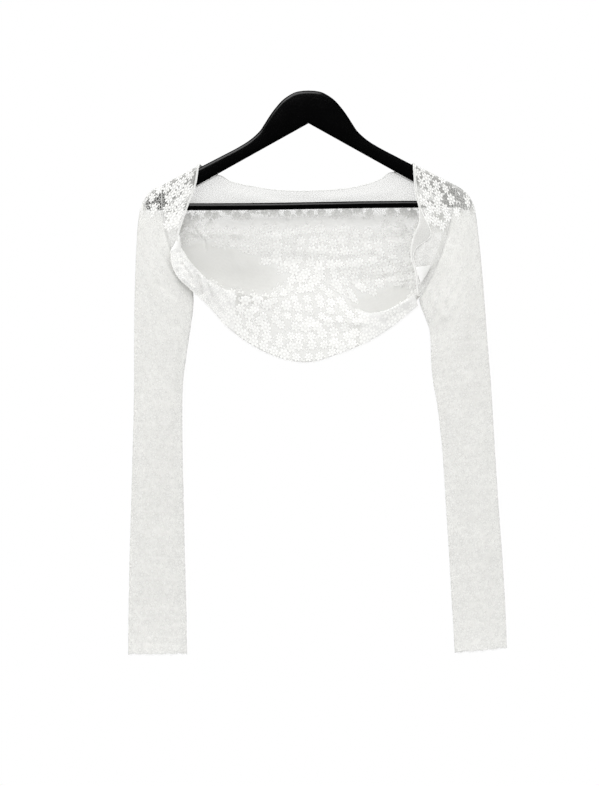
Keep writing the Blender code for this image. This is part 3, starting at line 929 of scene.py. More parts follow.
@dataclass
class Motifs:
    """Open flowers with leaves between them, raised on a cloth and following its surface."""

    spacing: float = 16.0
    radius: float = 6.6
    relief: float = 0.75
    petals: int = 7
    both_faces: bool = False
    scatter: float = 0.11
    first: float = 0.36
    overhang: float = 2.4
    lap: float = 3.0
    seed: int = 3
    cut: float = 0.36
    groove: float = 0.0

    # Of each ring of a flower, from its eye out: share of the radius, height, and how closely it is
    # worked on the petals and in the dips between them.
    RINGS = (0.2, 0.34, 0.56, 1.0)
    HEIGHTS = (0.8, 0.2, 0.9, 0.3)
    SOLID = (0.95, 0.5, 1.0, 0.95)
    SOLID_DIP = (0.95, 0.5, 0.75, 0.5)
    EYE_HEIGHT = 0.7
    GROOVE_HEIGHT = 0.85
    GROOVE_REACH = 0.5
    LEAF_LENGTH = 5.0
    LEAF_WIDTH = 2.1
    LEAF_SIDES = 8
    LEAF_INNER = 0.6
    LEAF_HEIGHTS = (0.5, 0.8)
    LEAF_SOLID = (0.3, 1.0, 0.9)
    LEAF_POINT = 0.4
    LEAF_STRAY = 0.18
    # Mean and spread of a leaf's turn; angle and distance of each leaf from its flower.
    LEAF_TURN = (0.9, 0.3)
    LEAF_WAYS = ((0.55, 0.54), (2.6, 0.54), (4.7, 0.52))
    SIZES = (0.8, 1.15)
    LINE_STEP = 0.87
    LEAST_STEP = 0.2
    STAND_OFF = 0.2

    def flower(self) -> tuple[np.ndarray, np.ndarray, list]:
        """The flower's own points, their closeness and its faces.

        Each petal has three points round: a dip and two on its blunt end. The rings are a corded eye,
        an open groove, the petals' feet and their ends, and a dip is drawn in by its ring's share.

        Returns:
            Points as across, down and height, closeness of each, and faces.
        """
        count = 3 * self.petals
        turn = np.linspace(0, 2 * math.pi, count, endpoint=False)
        dip = (np.arange(count) % 3 == 0).astype(float)
        way = np.stack([np.cos(turn), np.sin(turn)], axis=1) * self.radius
        layers, solid = [np.array([[0, 0, self.EYE_HEIGHT * self.relief]])], [np.array([1.0])]
        dips = (0.0, 0.0, self.cut / 6, self.cut)
        for share, drawn, height, close, open_ in zip(
            self.RINGS, dips, self.HEIGHTS, self.SOLID, self.SOLID_DIP
        ):
            height += self.groove * (self.GROOVE_HEIGHT - height) * (share < self.GROOVE_REACH)
            close += self.groove * (1 - close)
            open_ += self.groove * (1 - open_)
            reach = share - drawn * dip
            layers.append(np.column_stack([way * reach[:, None], np.full(count, height * self.relief)]))
            solid.append(close + (open_ - close) * dip)
        return np.vstack(layers), np.concatenate(solid), self.fan(count, len(self.RINGS))

    @staticmethod
    def fan(count: int, rings: int) -> list:
        """Faces from a middle point out through rings of count points each."""
        faces = [(0, 1 + k, 1 + (k + 1) % count) for k in range(count)]
        for ring in range(rings - 1):
            inner = 1 + ring * count
            outer = inner + count
            faces += [(inner + k, outer + k, outer + (k + 1) % count, inner + (k + 1) % count)
                      for k in range(count)]
        return faces

    def leaf(self) -> tuple[np.ndarray, np.ndarray, list]:
        """A pointed oval leaf with a raised rib, as points, closeness and faces."""
        sides, share = self.LEAF_SIDES, self.LEAF_INNER
        turn = np.linspace(0, 2 * math.pi, sides, endpoint=False)
        across = self.LEAF_LENGTH / 2 * np.cos(turn)
        down = self.LEAF_WIDTH / 2 * np.sin(turn) * np.abs(np.sin(turn)) ** self.LEAF_POINT
        rim = np.column_stack([across, down, np.zeros(sides)])
        rib, rise = (height * self.relief for height in self.LEAF_HEIGHTS)
        inner = np.column_stack([across * share, down * share, np.full(sides, rise)])
        points = np.vstack([[[0, 0, rib]], inner, rim])
        solid = np.repeat(self.LEAF_SOLID, (1, sides, sides))
        return points, solid, self.fan(sides, 2)

    def places(self, surface: Surface, draw: np.random.Generator) -> tuple[np.ndarray, np.ndarray]:
        """Rows and columns of the flowers: lines at even distances up from the hem.

        A line is where the distance along each column, up from the hem, has one value. The flowers
        stand at even steps of the line's own length, with every other line shifted half a step.

        Args:
            surface: the cloth.
            draw: the source of the small scatter.

        Returns:
            Places down and across, counted in rows and columns.
        """
        down, _ = surface.lengths()
        up = down[-1] - down
        grid = surface.wrapped()
        numbers = np.arange(grid.shape[1], dtype=float)
        whole = numbers.astype(int)
        rows, columns = [], []
        lines = np.arange(self.first * self.spacing, up[0].max(), self.spacing * self.LINE_STEP)
        for number, line in enumerate(lines):
            above = (up > line).sum(axis=0)
            upper = np.clip(above - 1, 0, len(up) - 2)
            high, low = up[upper, whole], up[upper + 1, whole]
            at = upper + np.clip((high - line) / np.maximum(high - low, 1e-6), 0, 1)
            curve = surface.read(grid, at, np.minimum(numbers, len(numbers) - 1 - 1e-6))
            there = (above[1:] > 0) & (above[:-1] > 0)
            lengths = np.linalg.norm(np.diff(curve, axis=0), axis=1) * there
            reach = np.concatenate([[0.0], np.cumsum(lengths)])
            count = int(round(reach[-1] / self.spacing))
            if count == 0:
                continue
            step = reach[-1] / count
            spots = step * (np.arange(count) + 0.25 + 0.5 * (number % 2))
            spots = spots + draw.normal(0, self.scatter * self.spacing, count)
            column = np.interp(spots, reach + np.arange(len(reach)) * 1e-6, numbers)
            row_step = np.maximum(down[-1].mean() / len(up), self.LEAST_STEP)
            drift = draw.normal(0, self.scatter * self.spacing, count) / row_step
            if number == 0:
                drift = -0.5 * np.abs(drift)
            columns.append(column)
            rows.append(np.interp(column, numbers, at) + drift)
        return np.concatenate(rows), np.concatenate(columns)

    def map_onto(
        self, surface: Surface, template: np.ndarray, rows: np.ndarray, columns: np.ndarray,
        turns: np.ndarray, sizes: np.ndarray, face: float
    ) -> tuple[np.ndarray, np.ndarray]:
        """Lays copies of a template on the cloth.

        A copy is turned and sized in the plane, its distances are divided by the length of a row's
        and a column's step there to give places on the grid, and its heights go along the normal.

        Args:
            surface: the cloth.
            template: points as across, down and height.
            rows: places of the copies.
            columns: places of the copies.
            turns: their angles.
            sizes: their scales.
            face: 1 for the side of the normals and -1 for the other.

        Returns:
            The points, and how far each stands out too much past the cloth's edge.
        """
        lengths = surface.steps(rows, columns)
        cos, sin = np.cos(turns)[:, None], np.sin(turns)[:, None]
        flat = template[None, :, :2] * sizes[:, None, None]
        across = flat[..., 0] * cos - flat[..., 1] * sin
        along_it = flat[..., 0] * sin + flat[..., 1] * cos
        at_row = rows[:, None] + along_it / np.maximum(lengths[0], self.LEAST_STEP)
        at_column = columns[:, None] + across / np.maximum(lengths[1], self.LEAST_STEP)
        grid = surface.wrapped()
        past = np.maximum((at_row - (grid.shape[0] - 1)) * lengths[0] - self.overhang,
                          -at_row * lengths[0] - self.lap)
        if not surface.closed:
            sides = np.maximum(-at_column, at_column - (grid.shape[1] - 1)) * lengths[1]
            past = np.maximum(past, sides - self.lap)
        base = surface.read(grid, at_row, at_column)
        normal = surface.read(surface.normals(), at_row, at_column)
        rise = (template[None, :, 2:3] + self.STAND_OFF) * face
        return base + normal * rise, past

    def build(
        self, name: str, surface: Surface, material: bpy.types.Material,
        keep: Callable[[np.ndarray], np.ndarray] | None = None
    ) -> bpy.types.Object:
        """All the flowers and leaves of one cloth as one mesh.

        Args:
            name: the piece's name.
            surface: the cloth.
            material: its finish.
            keep: says of the flowers' middles which this mesh takes.

        Returns:
            The object.
        """
        draw = np.random.default_rng(self.seed)
        rows, columns = self.places(surface, draw)
        if keep:
            taken = keep(surface.read(surface.wrapped(), rows, columns))
            rows, columns = rows[taken], columns[taken]
        turns = draw.uniform(0, 2 * math.pi, len(rows))
        sizes = draw.uniform(*self.SIZES, len(rows))
        steps = [np.maximum(step[:, 0], self.LEAST_STEP) for step in surface.steps(rows, columns)]
        points, closeness, faces, count = [], [], [], 0
        kinds = [(self.flower(), rows, columns, turns, sizes)]
        for lean, reach in self.LEAF_WAYS:
            way = draw.normal(lean, self.LEAF_STRAY, len(rows))
            shift = self.spacing * reach
            kinds.append((self.leaf(), rows + shift * np.sin(way) / steps[0],
                          columns + shift * np.cos(way) / steps[1],
                          way + draw.normal(*self.LEAF_TURN, len(rows)), sizes))
        for (template, solid, pattern), at_rows, at_columns, angles, scales in kinds:
            for face in ((1.0, -1.0) if self.both_faces else (1.0,)):
                placed, past = self.map_onto(surface, template, at_rows, at_columns, angles, scales, face)
                placed = placed[past.max(axis=1) <= 0.0]
                shape = np.array([corner for cell in pattern for corner in cell])
                starts = np.cumsum([0, *[len(cell) for cell in pattern]])
                offsets = (count + np.arange(len(placed)) * len(template))[:, None]
                numbers = shape[None, :] + offsets
                for low, high in zip(starts[:-1], starts[1:]):
                    cells = numbers[:, low:high]
                    faces += (cells if face > 0 else cells[:, ::-1]).tolist()
                points.append(placed.reshape(-1, 3))
                closeness.append(np.tile(solid, len(placed)))
                count += len(placed) * len(template)
        thing = new_object(name, np.vstack(points), faces, material)
        add_values(thing, SOLID_NAME, np.concatenate(closeness))
        return thing


@dataclass
class Cord:
    """A round cord along a path: the corded edges and seams of the garment."""

    diameter: float
    sides: int = 8

    STEEP = 0.9

    def build(
        self, name: str, path: np.ndarray, closed: bool, material: bpy.types.Material
    ) -> bpy.types.Object:
        """A tube along the path, its ring turned square to the way at each point.

        Args:
            name: the piece's name.
            path: points in millimetres.
            closed: whether the path joins up with its start.
            material: its finish.

        Returns:
            The object.
        """
        if closed:
            way = np.roll(path, -1, axis=0) - np.roll(path, 1, axis=0)
        else:
            way = np.gradient(path, axis=0)
        way = unit(way)
        hint = np.where(np.abs(way[:, 1:2]) > self.STEEP, [[1.0, 0.0, 0.0]], [[0.0, 1.0, 0.0]])
        side = unit(np.cross(way, hint))
        up = np.cross(side, way)
        turn = np.linspace(0, 2 * math.pi, self.sides, endpoint=False)
        ring = side[:, None] * np.cos(turn)[None, :, None] + up[:, None] * np.sin(turn)[None, :, None]
        points = path[:, None] + ring * self.diameter / 2
        count = len(path) if closed else len(path) - 1
        faces = grid_cells(len(path), self.sides, count, self.sides)[:, ::-1].tolist()
        if not closed:
            last = (len(path) - 1) * self.sides
            faces.append(list(range(self.sides)))
            faces.append([last + number for number in reversed(range(self.sides))])
        thing = new_object(name, points, faces, material)
        add_values(thing, SOLID_NAME, np.ones(len(path) * self.sides))
        return thing


@dataclass
class Picots:
    """A row of small thread loops along a free edge."""

    pitch: float = 3.6
    reach: float = 1.5
    thread: float = 0.4
    arc_points: int = 6

    UNEVEN = 0.35
    UNEVEN_STEP = 2.4
    HALF_SPAN = 0.46

    def build(
        self, name: str, edge: np.ndarray, inner: np.ndarray, material: bpy.types.Material
    ) -> bpy.types.Object:
        """Half rings of flat thread that stand out from the edge.

        Each loop is half an ellipse: across it goes by the cosine and outward by the sine of an
        angle; a loop's outward way is from the inner line to the edge.

        Args:
            name: the piece's name.
            edge: points along the edge.
            inner: points beside them, inside the cloth.
            material: its finish.

        Returns:
            The object.
        """
        reach = travelled(edge)
        count = int(reach[-1] // self.pitch)
        middles = (np.arange(count) + 0.5) * reach[-1] / count
        centre = walk(edge, reach, middles)
        way = unit(walk(np.gradient(edge, reach, axis=0), reach, middles))
        out = centre - walk(inner, reach, middles)
        out = unit(out - (out * way).sum(axis=1, keepdims=True) * way)
        normal = np.cross(way, out)
        turn = np.linspace(0, math.pi, self.arc_points)
        length = self.reach * (1 + self.UNEVEN * np.sin(np.arange(count) * self.UNEVEN_STEP))
        corners = []
        for widen, lift in ((-1, 0.0), (1, 0.0), (0, 1.0)):
            wide = self.pitch * self.HALF_SPAN + widen * self.thread / 2
            tall = length[:, None] + widen * self.thread / 2
            corners.append(centre[:, None] + way[:, None] * (wide * np.cos(turn))[None, :, None]
                           + out[:, None] * (tall * np.sin(turn)[None, :])[..., None]
                           + normal[:, None] * (lift * self.thread))
        points = np.stack(corners, axis=2)
        loop, arc, corner = np.meshgrid(np.arange(count), np.arange(self.arc_points - 1), np.arange(3),
                                        indexing="ij")
        base = (loop * self.arc_points + arc) * 3
        over = (corner + 1) % 3
        quads = np.stack([base + corner, base + over, base + 3 + over, base + 3 + corner], axis=-1)
        faces = quads.reshape(-1, 4).tolist()
        ends = np.arange(count) * self.arc_points * 3
        faces += np.stack([ends + 2, ends + 1, ends], axis=1).tolist()
        last = ends + (self.arc_points - 1) * 3
        faces += np.stack([last, last + 1, last + 2], axis=1).tolist()
        thing = new_object(name, points, faces, material)
        add_values(thing, SOLID_NAME, np.ones(points.size // 3))
        return thing


@dataclass
class Wardrobe:
    """The finishes, made once and shared by the pieces."""

    body_net: LaceFinish = LaceFinish(
        "body_net", (0.72, 0.72, 0.695), (0.8, 0.8, 0.775), 0.26, 0.4, 0.97, 0.25, 0.25
    )
    sleeve_net: LaceFinish = LaceFinish(
        "sleeve_net", (0.85, 0.85, 0.825), (0.97, 0.97, 0.945), 0.26, 0.4, 0.97, 0.65, 0.22
    )
    body_motif: MotifFinish = MotifFinish("body_motif", (0.83, 0.83, 0.81), (0.93, 0.93, 0.91), 0.2, 1.0)
    roll_motif: MotifFinish = MotifFinish(
        "roll_motif", (0.82, 0.82, 0.8), (0.905, 0.905, 0.885), 0.2, 1.0
    )
    # The inside's flowers: a darker copy of the roll's finish, painted shade.
    shaded_inner_motif: MotifFinish = MotifFinish("shaded_inner_motif", (0.78, 0.78, 0.76), (0.91, 0.91, 0.89), 0.2, 0.95)
    sleeve_motif: MotifFinish = MotifFinish("sleeve_motif", (0.86, 0.86, 0.84), (0.92, 0.92, 0.905), 0.1, 0.5)
    lacquer: LacquerFinish = LacquerFinish()
    made: dict[str, bpy.types.Material] = field(default_factory=dict)

    def material(self, finish: LaceFinish | MotifFinish | LacquerFinish) -> bpy.types.Material:
        """The material of a finish, built the first time it is asked for."""
        if finish.name not in self.made:
            self.made[finish.name] = finish.build()
        return self.made[finish.name]

    def sew(
        self, name: str, motifs: Motifs, surface: Surface, finish: MotifFinish,
        keep: Callable[[np.ndarray], np.ndarray]
    ) -> bpy.types.Object:
        """Makes and places those flowers of a cloth that keep takes."""
        return place(motifs.build(name, surface, self.material(finish), keep))

    def trim(
        self, name: str, diameter: float, path: np.ndarray, finish: MotifFinish, closed: bool = False
    ) -> bpy.types.Object:
        """Makes and places a corded edge or seam."""
        return place(Cord(diameter).build(name, path, closed, self.material(finish)))


def place(thing: bpy.types.Object, *nodes: str, slot: Slot = Slot.LACE) -> bpy.types.Object:
    """Puts a piece on the part's one body and hides the solids that it stands for; only wood shows in glossy
    rays.

    Args:
        thing: the piece.
        nodes: the solids that it replaces.
        slot: the record's material slot; the code only uses it to let wood show in glossy rays.

    Returns:
        The piece.
    """
    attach(thing, BODY_NAME)
    thing.visible_glossy = slot is Slot.WOOD
    if nodes:
        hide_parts(*nodes)
    LOG.info("%s: %d faces", thing.name, len(thing.data.polygons))
    return thing


def tip_holes(points: np.ndarray) -> np.ndarray:
    """How open the ground's holes are: a small share everywhere, and more at the shoulders' tips.

    Args:
        points: places in millimetres.

    Returns:
        A share for each place.
    """
    holes = LEAST_HOLES
    for spot in HOLE_SPOTS:
        across, up = points[..., 0] - spot.centre_x, points[..., 2] - spot.centre_z
        holes = holes + spot.share * np.exp(-(np.hypot(across / spot.reach_x, up / spot.reach_z) ** 2))
    return np.clip(holes, 0, 1)


@dataclass
class Sleeve:
    """One sleeve: a flat tube of lace from the armhole to the open cuff."""

    side: Side
    rows: int = 176
    ring_samples: int = 84
    thickness: float = 0.35
    cuff_wave: float = 1.3
    closeness: float = 0.45
    flat: tuple[float, float] = (0.175, 0.65)

    SHEER_DOWN_TO = -158.0
    FADE = 16.0
    # Near its two folds the sleeve is worked closer and takes the lighter worked colour, a painted sheen
    # where the tube turns edge-on.
    FOLD_REACH = 3.2
    FOLD_SHEEN_CLOSENESS = 0.3
    FACE_SAMPLES = 60
    # Start and length of the wavy cuff as shares of the rows, and its waves in radians per mm.
    CUFF_SHARES = (0.93, 0.07)
    CUFF_RIPPLES = (0.42, 0.93)

    @staticmethod
    def evened(ring: np.ndarray, count: int) -> np.ndarray:
        """A closed ring again, with count points at even steps of its length."""
        closed = np.vstack([ring, ring[:1]])
        reach = travelled(closed)
        return walk(closed, reach, np.linspace(0, reach[-1], count, endpoint=False))

    def surface(self) -> Surface:
        """The sleeve's grid: a ring at each place down the table, with its creases.

        The creases stand out on the front face, and the same ones, turned round, on the back face.

        Returns:
            The closed surface.
        """
        table = np.array(SLEEVES[self.side], dtype=float)
        places = np.linspace(0, len(table) - 1, self.rows * 4)
        dense = along(table, places)
        middle = (dense[:, :2] + dense[:, 2:4]) / 2
        reach = travelled(middle)
        even = np.interp(np.linspace(0, reach[-1], self.rows), reach, places)
        rings = [SleeveShape.section(SleeveRow(*row), self.FACE_SAMPLES) for row in along(table, even)]
        points = np.stack([self.evened(ring, self.ring_samples) for ring in rings])
        facing = -points[..., 1] / np.abs(points[..., 1]).max()
        points = push(points, SLEEVE_CREASES[self.side], np.clip(facing * 2, -1, 1))
        start, span = self.CUFF_SHARES
        share = fade(np.arange(self.rows), self.rows * start, self.rows * span) ** 2
        wide, narrow = (points[..., 0] * turns for turns in self.CUFF_RIPPLES)
        ripple = np.sin(wide) + 0.6 * np.sin(narrow + 1.0)
        points[..., 2] += self.cuff_wave * 0.5 * share[:, None] * ripple
        points[..., 1] += self.cuff_wave * share[:, None] * ripple * np.sign(points[..., 1]) * 0.4
        if self.side is Side.LEFT:
            points = points[:, ::-1]
        return Surface(points, closed=True)

    def dress(self, wardrobe: Wardrobe) -> None:
        """Makes the sleeve, its flowers, its cuff edging and its armhole seam.

        Args:
            wardrobe: the finishes.
        """
        word = self.side.name.lower()
        surface = self.surface()
        low = fade(surface.points[..., 2], self.SHEER_DOWN_TO, -self.FADE)
        # Painted sheen: closer and lighter along the two folds.
        folds = np.exp(-((surface.points[..., 1] / self.FOLD_REACH) ** 2))
        solid = low * (self.closeness + self.FOLD_SHEEN_CLOSENESS * folds)
        net = make_sheet(f"sleeve_{word}_lace", surface, self.thickness, solid, tip_holes(surface.points),
                         wardrobe.material(wardrobe.sleeve_net))
        place(net, f"sleeve_{word}")
        motifs = Motifs(seed=5 + self.side.value, spacing=15.0, radius=6.6, relief=0.2, overhang=1.2)
        limit = self.SHEER_DOWN_TO - self.FADE / 2
        flowers = wardrobe.sew(f"sleeve_{word}_flowers", motifs, surface, wardrobe.sleeve_motif,
                               lambda middle: middle[:, 2] < limit)
        bright = wardrobe.sew(f"shoulder_{word}_flowers", motifs, surface, wardrobe.body_motif,
                              lambda middle: middle[:, 2] >= limit)
        seam = wardrobe.trim(f"armhole_seam_{word}", 1.1, surface.points[0], wardrobe.sleeve_motif, True)
        closed = surface.wrapped()
        picots = place(Picots(pitch=3.2, reach=1.6, thread=0.45).build(
            f"cuff_{word}_picots", closed[-1], closed[-4], wardrobe.material(wardrobe.sleeve_motif)
        ))
        LOG.info("sleeve %s area %.4f", word, surface.area())
        surface.area()


@dataclass
class Front:
    """One front: over the hanger's arm from its lower end to the seam behind, edge turned back."""

    side: Side
    end_share: float
    edge: tuple[Station, ...]
    flare: float
    flat: tuple[float, float]
    columns: int = 30
    rows: int = 70
    behind_rows: int = 24
    thickness: float = 0.4

    SHOULDER_FOLD = 7.6
    SEAM_INSET = 0.7
    SEAM_DEPTH = 8.6
    END_DEPTH = 10.5
    TURNED_WIDTH = 1.8
    TURNED_FOLD = 0.8
    TURNED_STEPS = 8
    FLARE_PLACE = 0.54
    FLARE_SPREADS = (0.1, 0.13)
    FLARE_POWER = 2.6
    FLAP_STEPS = 6
    CRISP_DOWN_TO = -184
    FADE = 10.0
    SEAM_COLUMNS = 5
    # Start and length of the part where creases grow, as shares of the front's length.
    CREASED_FROM = (0.05, 0.125)
    # How closely worked the lower end and the turned edge are, and the turned edge where it flares.
    CLOSENESS = 0.75
    LOOP_CLOSENESS = 0.6
    CORNER_GRID = 12
    CORNER_TIP = 0.96
    # How far the turned corner stands out along its sides, and how much more along its middle.
    CORNER_RISES = (0.9, 1.6)
    # Across and height of each turned corner's left point, right point and tip.
    CORNERS = {
        Side.LEFT: ((-186.5, -219.5), (-171.5, -214), (-173.5, -196)),
        Side.RIGHT: ((143.6, -239.8), (167.1, -236.7), (152.2, -261.2)),
    }

    def shares(self, length: float, samples: int) -> np.ndarray:
        """Shares of a length that step round the fold over the arm, then go down in even steps."""
        turn = np.linspace(0, math.pi / 2, 10)
        fold = self.SHOULDER_FOLD * (1 - np.cos(turn)) / length
        return np.concatenate([fold, np.linspace(fold[-1], 1, samples)[1:]])

    def depth(self, reach: np.ndarray, end: float) -> np.ndarray:
        """Half depth of cloth over the arm: a quarter circle, then an eased line to the end's depth."""
        low = np.clip(reach, 0, self.SHOULDER_FOLD)
        fold = np.sqrt(self.SHOULDER_FOLD**2 - (self.SHOULDER_FOLD - low) ** 2)
        beyond = fade(reach, self.SHOULDER_FOLD, reach[-1] - self.SHOULDER_FOLD)
        return fold + (end - self.SHOULDER_FOLD) * beyond * beyond * (3 - 2 * beyond)

    def face(self, armhole: tuple[np.ndarray, np.ndarray], edge: np.ndarray, end: float) -> np.ndarray:
        """One face: straight lines from the armhole to the edge, rows going down from the arm."""
        across = np.linspace(0, 1, self.columns)
        outer, outer_depth = armhole
        flat = outer[:, None] * (1 - across)[None, :, None] + edge[:, None] * across[None, :, None]
        depth = outer_depth[:, None] * (1 - across) + self.depth(travelled(edge), end)[:, None] * across
        return np.dstack([flat[:, :, 0], depth, flat[:, :, 1]])

    def surface(self) -> tuple[Surface, int]:
        """The front's grid, and how many of its last columns are the turned edge.

        The turned edge rolls over on a half circle and lies back on the outside.

        Returns:
            The surface and the number of turned columns.
        """
        table = np.asarray(self.edge, dtype=float)
        corner = np.asarray(NECK_CORNERS[self.side], dtype=float)
        length = np.linalg.norm(np.diff(table, axis=0), axis=1).sum()
        shares = self.shares(length, self.rows)
        armhole = SleeveShape.armhole(self.side, 1 - shares * (1 - self.end_share), self.SEAM_INSET)
        front = self.face(armhole, along(table, shares * (len(table) - 1)), self.END_DEPTH)
        front[..., 1] *= -1
        front = push(front, FRONT_CREASES[self.side], fade(shares, *self.CREASED_FROM)[:, None])
        spread = np.where(shares < self.FLARE_PLACE, *self.FLARE_SPREADS)
        bell = np.exp(-(np.abs((shares - self.FLARE_PLACE) / spread) ** self.FLARE_POWER))
        turned = self.TURNED_WIDTH + self.flare * bell

        drop = SleeveShape.seam_drop(self.side)
        shares = self.shares(np.linalg.norm(corner - table[0]), self.behind_rows)
        armhole = SleeveShape.armhole(self.side, 1 - shares * drop, self.SEAM_INSET)
        behind = self.face(armhole, table[0] + shares[:, None] * (corner - table[0]), self.SEAM_DEPTH)
        panel = np.concatenate([front[::-1], behind[1:]])
        turned = np.concatenate([turned[::-1], np.full(len(behind) - 1, self.TURNED_WIDTH)])
        normals = Surface(panel).normals()[:, -1]
        # A third down the grid lies on the front side, where the outside faces the viewer.
        normals *= np.sign(-normals[len(panel) // 3, 1])
        edge = panel[:, -1]
        back_way = unit(panel[:, 0] - edge)
        angles = np.linspace(0, math.pi, self.TURNED_STEPS + 1)[1:]
        rise = self.TURNED_FOLD * (1 - np.cos(angles))
        beyond = self.TURNED_FOLD * np.sin(angles)
        rolled = (edge[:, None] + normals[:, None] * rise[None, :, None]
                  - back_way[:, None] * beyond[None, :, None])
        lying = np.linspace(0, 1, self.FLAP_STEPS + 1)[1:]
        flap = (edge[:, None] + normals[:, None] * 2 * self.TURNED_FOLD
                + back_way[:, None] * (turned[:, None] * lying[None, :])[..., None])
        return Surface(np.concatenate([panel, rolled, flap], axis=1)), len(angles) + len(lying)

    def corner(self, panel: Surface) -> Surface:
        """The small turned corner at the front's lower end, a triangle.

        Rows go from its free side to the tip, and it stands out most along its middle.

        Args:
            panel: the front.

        Returns:
            The corner's grid.
        """
        left, right, tip = np.array(self.CORNERS[self.side])
        down, over = np.meshgrid(np.linspace(0, self.CORNER_TIP, self.CORNER_GRID),
                                 np.linspace(0, 1, self.CORNER_GRID), indexing="ij")
        top = left + over[..., None] * (right - left)
        flat = top + down[..., None] * (tip - top)
        face = panel.points[panel.points[..., 1] < 0]
        gaps = np.linalg.norm(flat[:, :, None] - face[None, None, :, [0, 2]], axis=-1)
        depth = face[gaps.argmin(axis=-1), 1]
        low, more = self.CORNER_RISES
        rise = low + more * np.sin(math.pi * over) * (1 - down)
        return Surface(np.dstack([flat[..., 0], depth.min() - rise, flat[..., 1]]))

    def dress(self, wardrobe: Wardrobe) -> None:
        """Makes the front, its flowers and its corded edge.

        Args:
            wardrobe: the finishes.
        """
        word = self.side.name.lower()
        surface, turned = self.surface()
        solid = self.CLOSENESS * fade(surface.points[..., 2], self.CRISP_DOWN_TO, -self.FADE)
        solid *= fade(np.arange(solid.shape[1]), 0, self.SEAM_COLUMNS)
        solid[:, -turned - 1 :] = self.CLOSENESS
        solid[:, -self.FLAP_STEPS :] = self.LOOP_CLOSENESS if self.flare > 0 else self.CLOSENESS
        net = make_sheet(f"front_{word}_lace", surface, self.thickness, solid, tip_holes(surface.points),
                         wardrobe.material(wardrobe.body_net))
        place(net, f"front_{word}")
        panel = Surface(surface.points[:, :-turned])
        if panel.normals()[len(panel.points) // 3, 5, 1] > 0:
            panel = Surface(panel.points[:, ::-1])
        motifs = Motifs(seed=11 + self.side.value, spacing=14.5, radius=6.8, relief=0.6, overhang=0.0)
        flowers = wardrobe.sew(f"front_{word}_flowers", motifs, panel, wardrobe.body_motif,
                               lambda middle: middle[:, 2] > self.CRISP_DOWN_TO)
        motifs.relief = 0.3
        soft = wardrobe.sew(f"front_{word}_low_flowers", motifs, panel, wardrobe.sleeve_motif,
                            lambda middle: middle[:, 2] <= self.CRISP_DOWN_TO)
        fold = surface.points[:, -turned + self.TURNED_STEPS // 2 - 1]
        cord = wardrobe.trim(f"front_{word}_cord", 1.3, fold, wardrobe.body_motif)
        corner = self.corner(panel)
        # The turned corner is closer and lighter on its left side and fades to the right, painted light and
        # shade across it.
        close = np.broadcast_to(np.linspace(1.0, 0.7, corner.points.shape[1]), corner.points.shape[:2])
        turned_corner = make_sheet(f"front_{word}_corner", corner, self.thickness, close, 0.3 * (1 - close),
                                   wardrobe.material(wardrobe.body_net))
        extras = [flowers, soft, cord, place(turned_corner),
                  wardrobe.trim(f"front_{word}_corner_cord", 0.9, corner.points[:, 0], wardrobe.body_motif)]
        if self.flare > 0:
            free = surface.points[4:-self.behind_rows, -1]
            extras.append(wardrobe.trim(f"front_{word}_loop_cord", 1.0, free, wardrobe.body_motif))
        LOG.info("front %s area %.4f", word, surface.area())
        surface.area()


